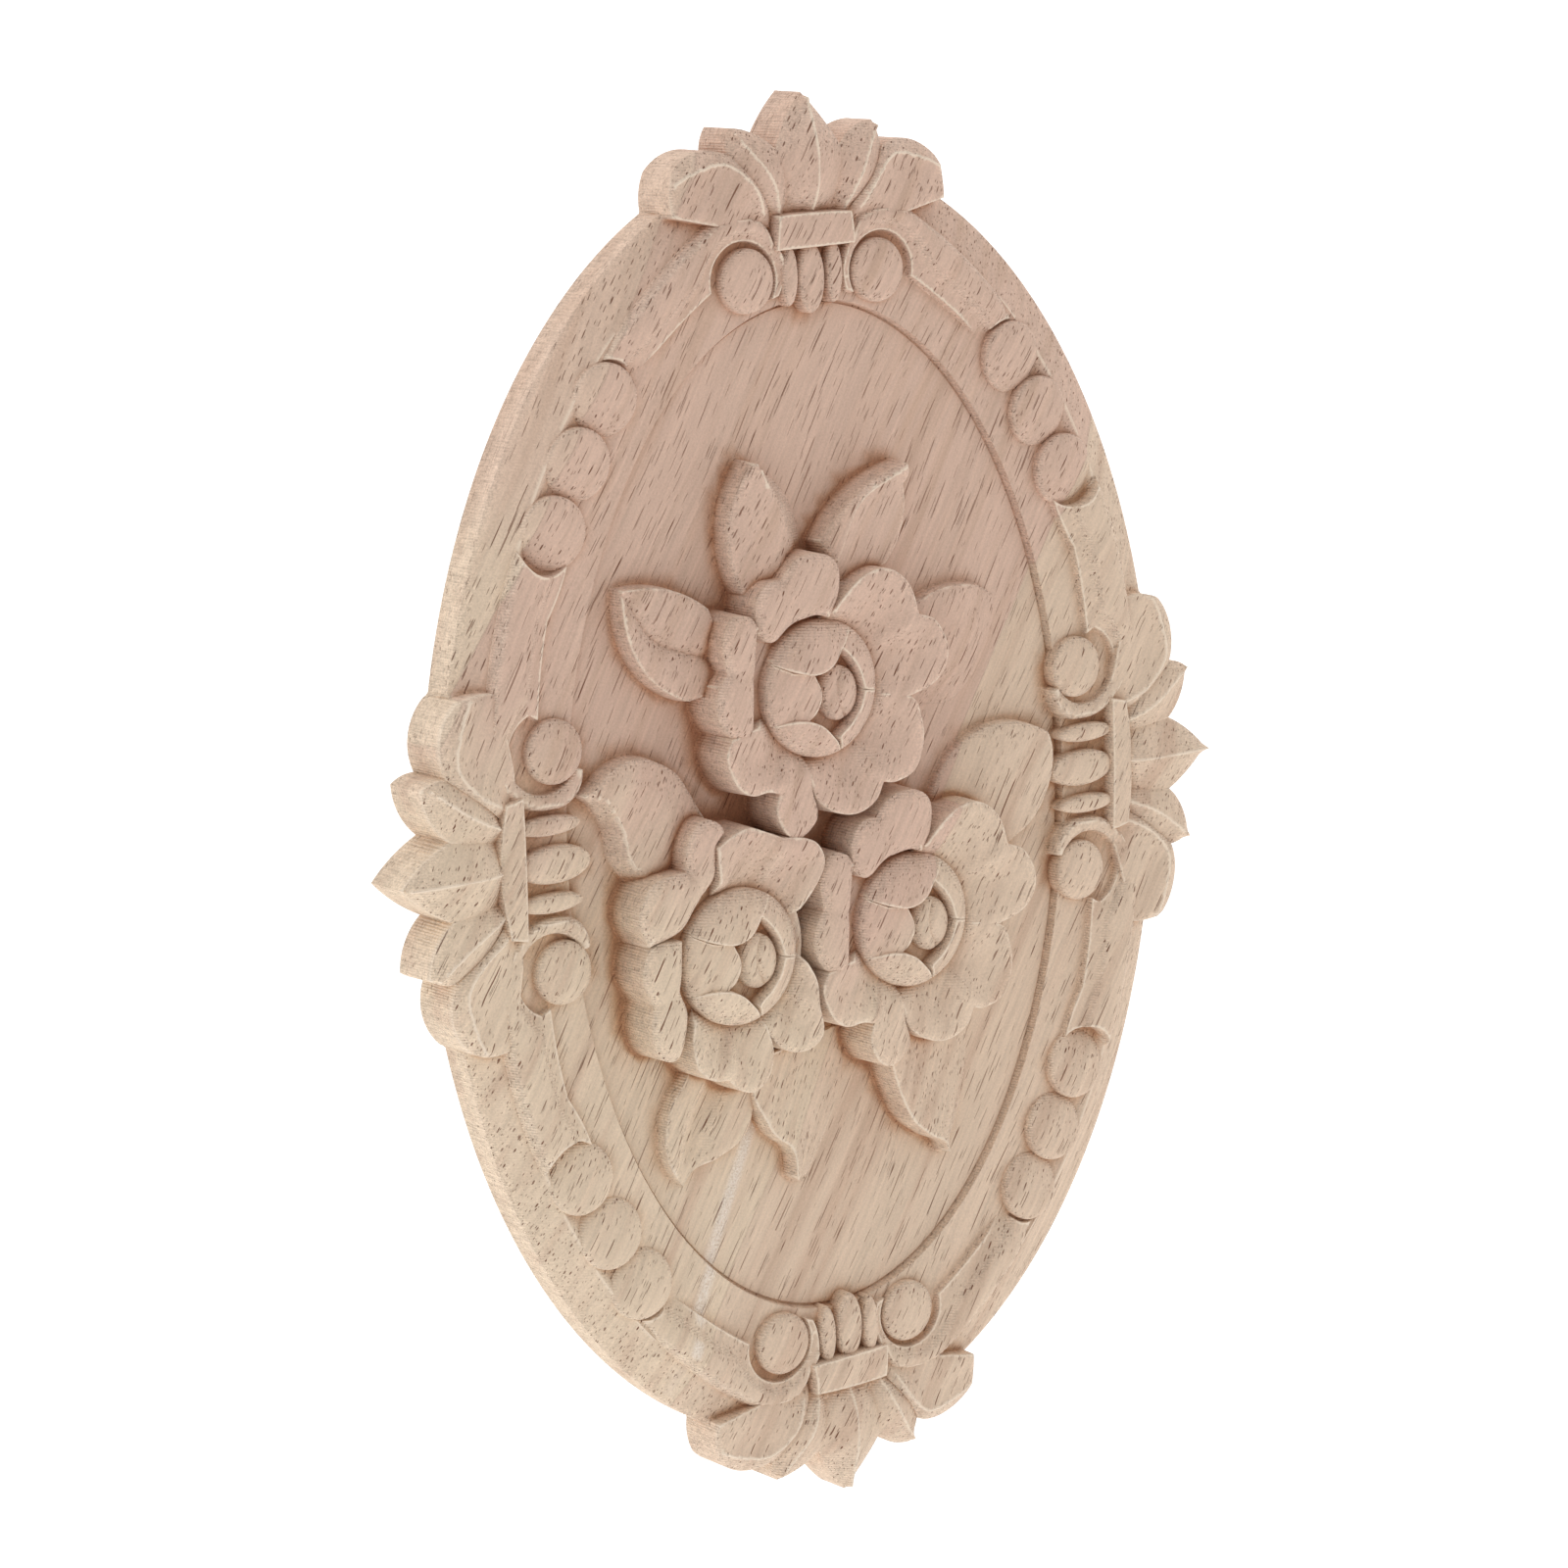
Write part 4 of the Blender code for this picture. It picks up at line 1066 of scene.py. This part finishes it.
def mark_edges(mesh):
    """Stores how sharply each corner of the carving stands out, for the light fuzz and painted highlight
    along cut edges.
    """
    verts = read(mesh.vertices, "co", 3)
    normals, centres = read(mesh.polygons, "normal", 3), read(mesh.polygons, "center", 3)
    corner_edges = read(mesh.loops, "edge_index", kind=int)
    owner = np.repeat(np.arange(len(mesh.polygons)), read(mesh.polygons, "loop_total", kind=int))
    order = np.argsort(corner_edges, kind="stable")
    sorted_edges, sorted_owner = corner_edges[order], owner[order]
    pairs = sorted_edges[:-1] == sorted_edges[1:]
    one, two, which = sorted_owner[:-1][pairs], sorted_owner[1:][pairs], sorted_edges[:-1][pairs]
    cosine = np.clip((normals[one] * normals[two]).sum(1), -1, 1)
    angle = np.degrees(np.arccos(cosine))
    ends = read(mesh.edges, "vertices", 2, int)
    middle = verts[ends[which]].mean(1)
    out = ((centres[two] - middle) * normals[one]).sum(1) < 0
    # An edge counts from 16 degrees on and in full at 46, and a foot from 12 and in full at 32
    amount = np.where(out, np.clip((angle - 16) / 30, 0, 1), 0)
    inner = np.where(out, 0, np.clip((angle - 12) / 20, 0, 1))
    mark, foot = np.zeros(len(verts)), np.zeros(len(verts))
    for end in (0, 1):
        np.maximum.at(mark, ends[which, end], amount)
        np.maximum.at(foot, ends[which, end], inner)
    mark = mark * (1 - foot)
    layer = mesh.attributes.new("cut_edge", "FLOAT", "POINT")
    layer.data.foreach_set("value", mark.astype(np.float32))


def blurred(level, spread):
    """A map of heights blurred by spread cells."""
    reach = int(spread * 4)
    weight = np.exp(-0.5 * (np.arange(-reach, reach + 1) / spread) ** 2)
    weight /= weight.sum()
    for axis in (0, 1):
        level = sum(w * np.roll(level, k - reach, axis) for k, w in enumerate(weight))
    return level


# Cells of the map of heights, its half width and height, and how far and how strongly each blur counts
CELL, MAP_HALF = 0.5, (84.0, 118.0)
BLURS = ((2.3, 0.12), (0.8, 0.42))


def mark_hollows(mesh):
    """Stores how far each point lies below the mean height of the carving round it, far and near."""
    verts = read(mesh.vertices, "co", 3) / MM
    low = -np.array(MAP_HALF)
    wide, tall = (int(2 * half / CELL) + 1 for half in MAP_HALF)
    gx, gy = np.meshgrid(low[0] + CELL * np.arange(wide), low[1] + CELL * np.arange(tall))
    level = ground(np.column_stack([gx.ravel(), gy.ravel()])).reshape(tall, wide)
    place = (verts[:, (0, 2)] - low) / CELL
    near = np.rint(place).astype(int)
    np.maximum.at(level, (near[:, 1], near[:, 0]), -verts[:, 1])
    for pick in (np.maximum, np.minimum):
        for axis in (0, 1):
            level = pick(level, pick(np.roll(level, 1, axis), np.roll(level, -1, axis)))
    base = np.floor(place).astype(int)
    fx, fy = (place - base).T
    i, j = base[:, 1], base[:, 0]
    below = 0
    for spread, share in BLURS:
        soft = blurred(level, spread / CELL)
        mean = ((soft[i, j] * (1 - fx) + soft[i, j + 1] * fx) * (1 - fy)
                + (soft[i + 1, j] * (1 - fx) + soft[i + 1, j + 1] * fx) * fy)
        below = below + share * np.clip(mean + verts[:, 1], -3, 3)
    below[verts[:, 1] > -0.01] = 0
    past_board = (ground(verts[:, (0, 2)]) <= 0) & (verts[:, 1] > -5)
    below[past_board] = np.minimum(below[past_board], 0)
    layer = mesh.attributes.new("hollow", "FLOAT", "POINT")
    layer.data.foreach_set("value", np.clip(below, -1, 1).astype(np.float32))


mark_edges(applique.data)
mark_hollows(applique.data)
wood = rubberwood()
applique.data.materials.clear()
applique.data.materials.append(wood)

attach(applique, "root")
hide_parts("carved_oval_applique")

# Camera, fitted by least squares to the oval, its palmettes and its clasps in the photo
PHOTO_PX, LENS_PX, SENSOR = 1600, 4400.0, 36.0
CAMERA_TURNS = (-36.98, 7.75, -8.16)
# Where the middle of the carved face lies in front of the camera, and the level fitted as that face
FACE_PLACE, FACE_LEVEL = (7.30, 4.64, 662.8), 8.53
turn_y, turn_x, turn_z = (math.radians(v) for v in CAMERA_TURNS)
to_camera = Matrix.Rotation(turn_y, 3, "Y") @ Matrix.Rotation(turn_x, 3, "X")
to_camera = to_camera @ Matrix.Rotation(turn_z, 3, "Z")
flip = Matrix(((1, 0, 0), (0, 0, -1), (0, 1, 0)))
shift = Vector(FACE_PLACE) + to_camera @ Vector((0, 0, FACE_LEVEL))
turn = to_camera @ flip
eye = -(turn.transposed() @ shift) * MM
camera_data = bpy.data.cameras.new("photo_camera")
camera_data.sensor_width = SENSOR
camera_data.lens = SENSOR * LENS_PX / PHOTO_PX
camera_data.clip_start = 0.05
camera_data.clip_end = 20
camera = placed("photo_camera", camera_data)
camera.matrix_world = Matrix.Translation(eye) @ (Matrix.Diagonal((1, -1, -1)) @ turn).transposed().to_4x4()
bpy.context.scene.camera = camera

# Pale floor, in metres
FLOOR_HALF, FLOOR_Z = 4, -0.35
floor_corners = [(x * FLOOR_HALF, y * FLOOR_HALF, FLOOR_Z) for x, y in ((-1, -1), (1, -1), (1, 1), (-1, 1))]
floor_mesh = bpy.data.meshes.new("floor")
floor_mesh.from_pydata(floor_corners, [], [(0, 1, 2, 3)])
floor = placed("floor", floor_mesh)
pale = bpy.data.materials.new("pale_floor")
pale.use_nodes = True
pale_shader = pale.node_tree.nodes["Principled BSDF"]
pale_shader.inputs["Base Color"].default_value = (0.92, 0.92, 0.92, 1)
pale_shader.inputs["Roughness"].default_value = 1.0
pale_shader.inputs["Specular IOR Level"].default_value = 0.0
pale_shader.inputs["Emission Color"].default_value = (1, 1, 1, 1)
pale_shader.inputs["Emission Strength"].default_value = 0.3
floor_mesh.materials.append(pale)

# White room that is brighter round the sides than in front, where the camera stands
world = bpy.data.worlds.new("studio")
bpy.context.scene.world = world
world.use_nodes = True
room = Nodes(world.node_tree)
toward = room.make("ShaderNodeTexCoord", None, None, "Generated")
side, front, up = (room.part(toward, k) for k in range(3))
glow = 1.33 + front.math("MINIMUM", 0.0) * 0.99 + side * 0.14 - up * 0.03
background = world.node_tree.nodes["Background"]
background.inputs["Color"].default_value = (1, 1, 1, 1)
world.node_tree.links.new(glow.socket, background.inputs["Strength"])
bpy.context.scene.view_settings.view_transform = "Standard"
bpy.context.scene.view_settings.look = "None"
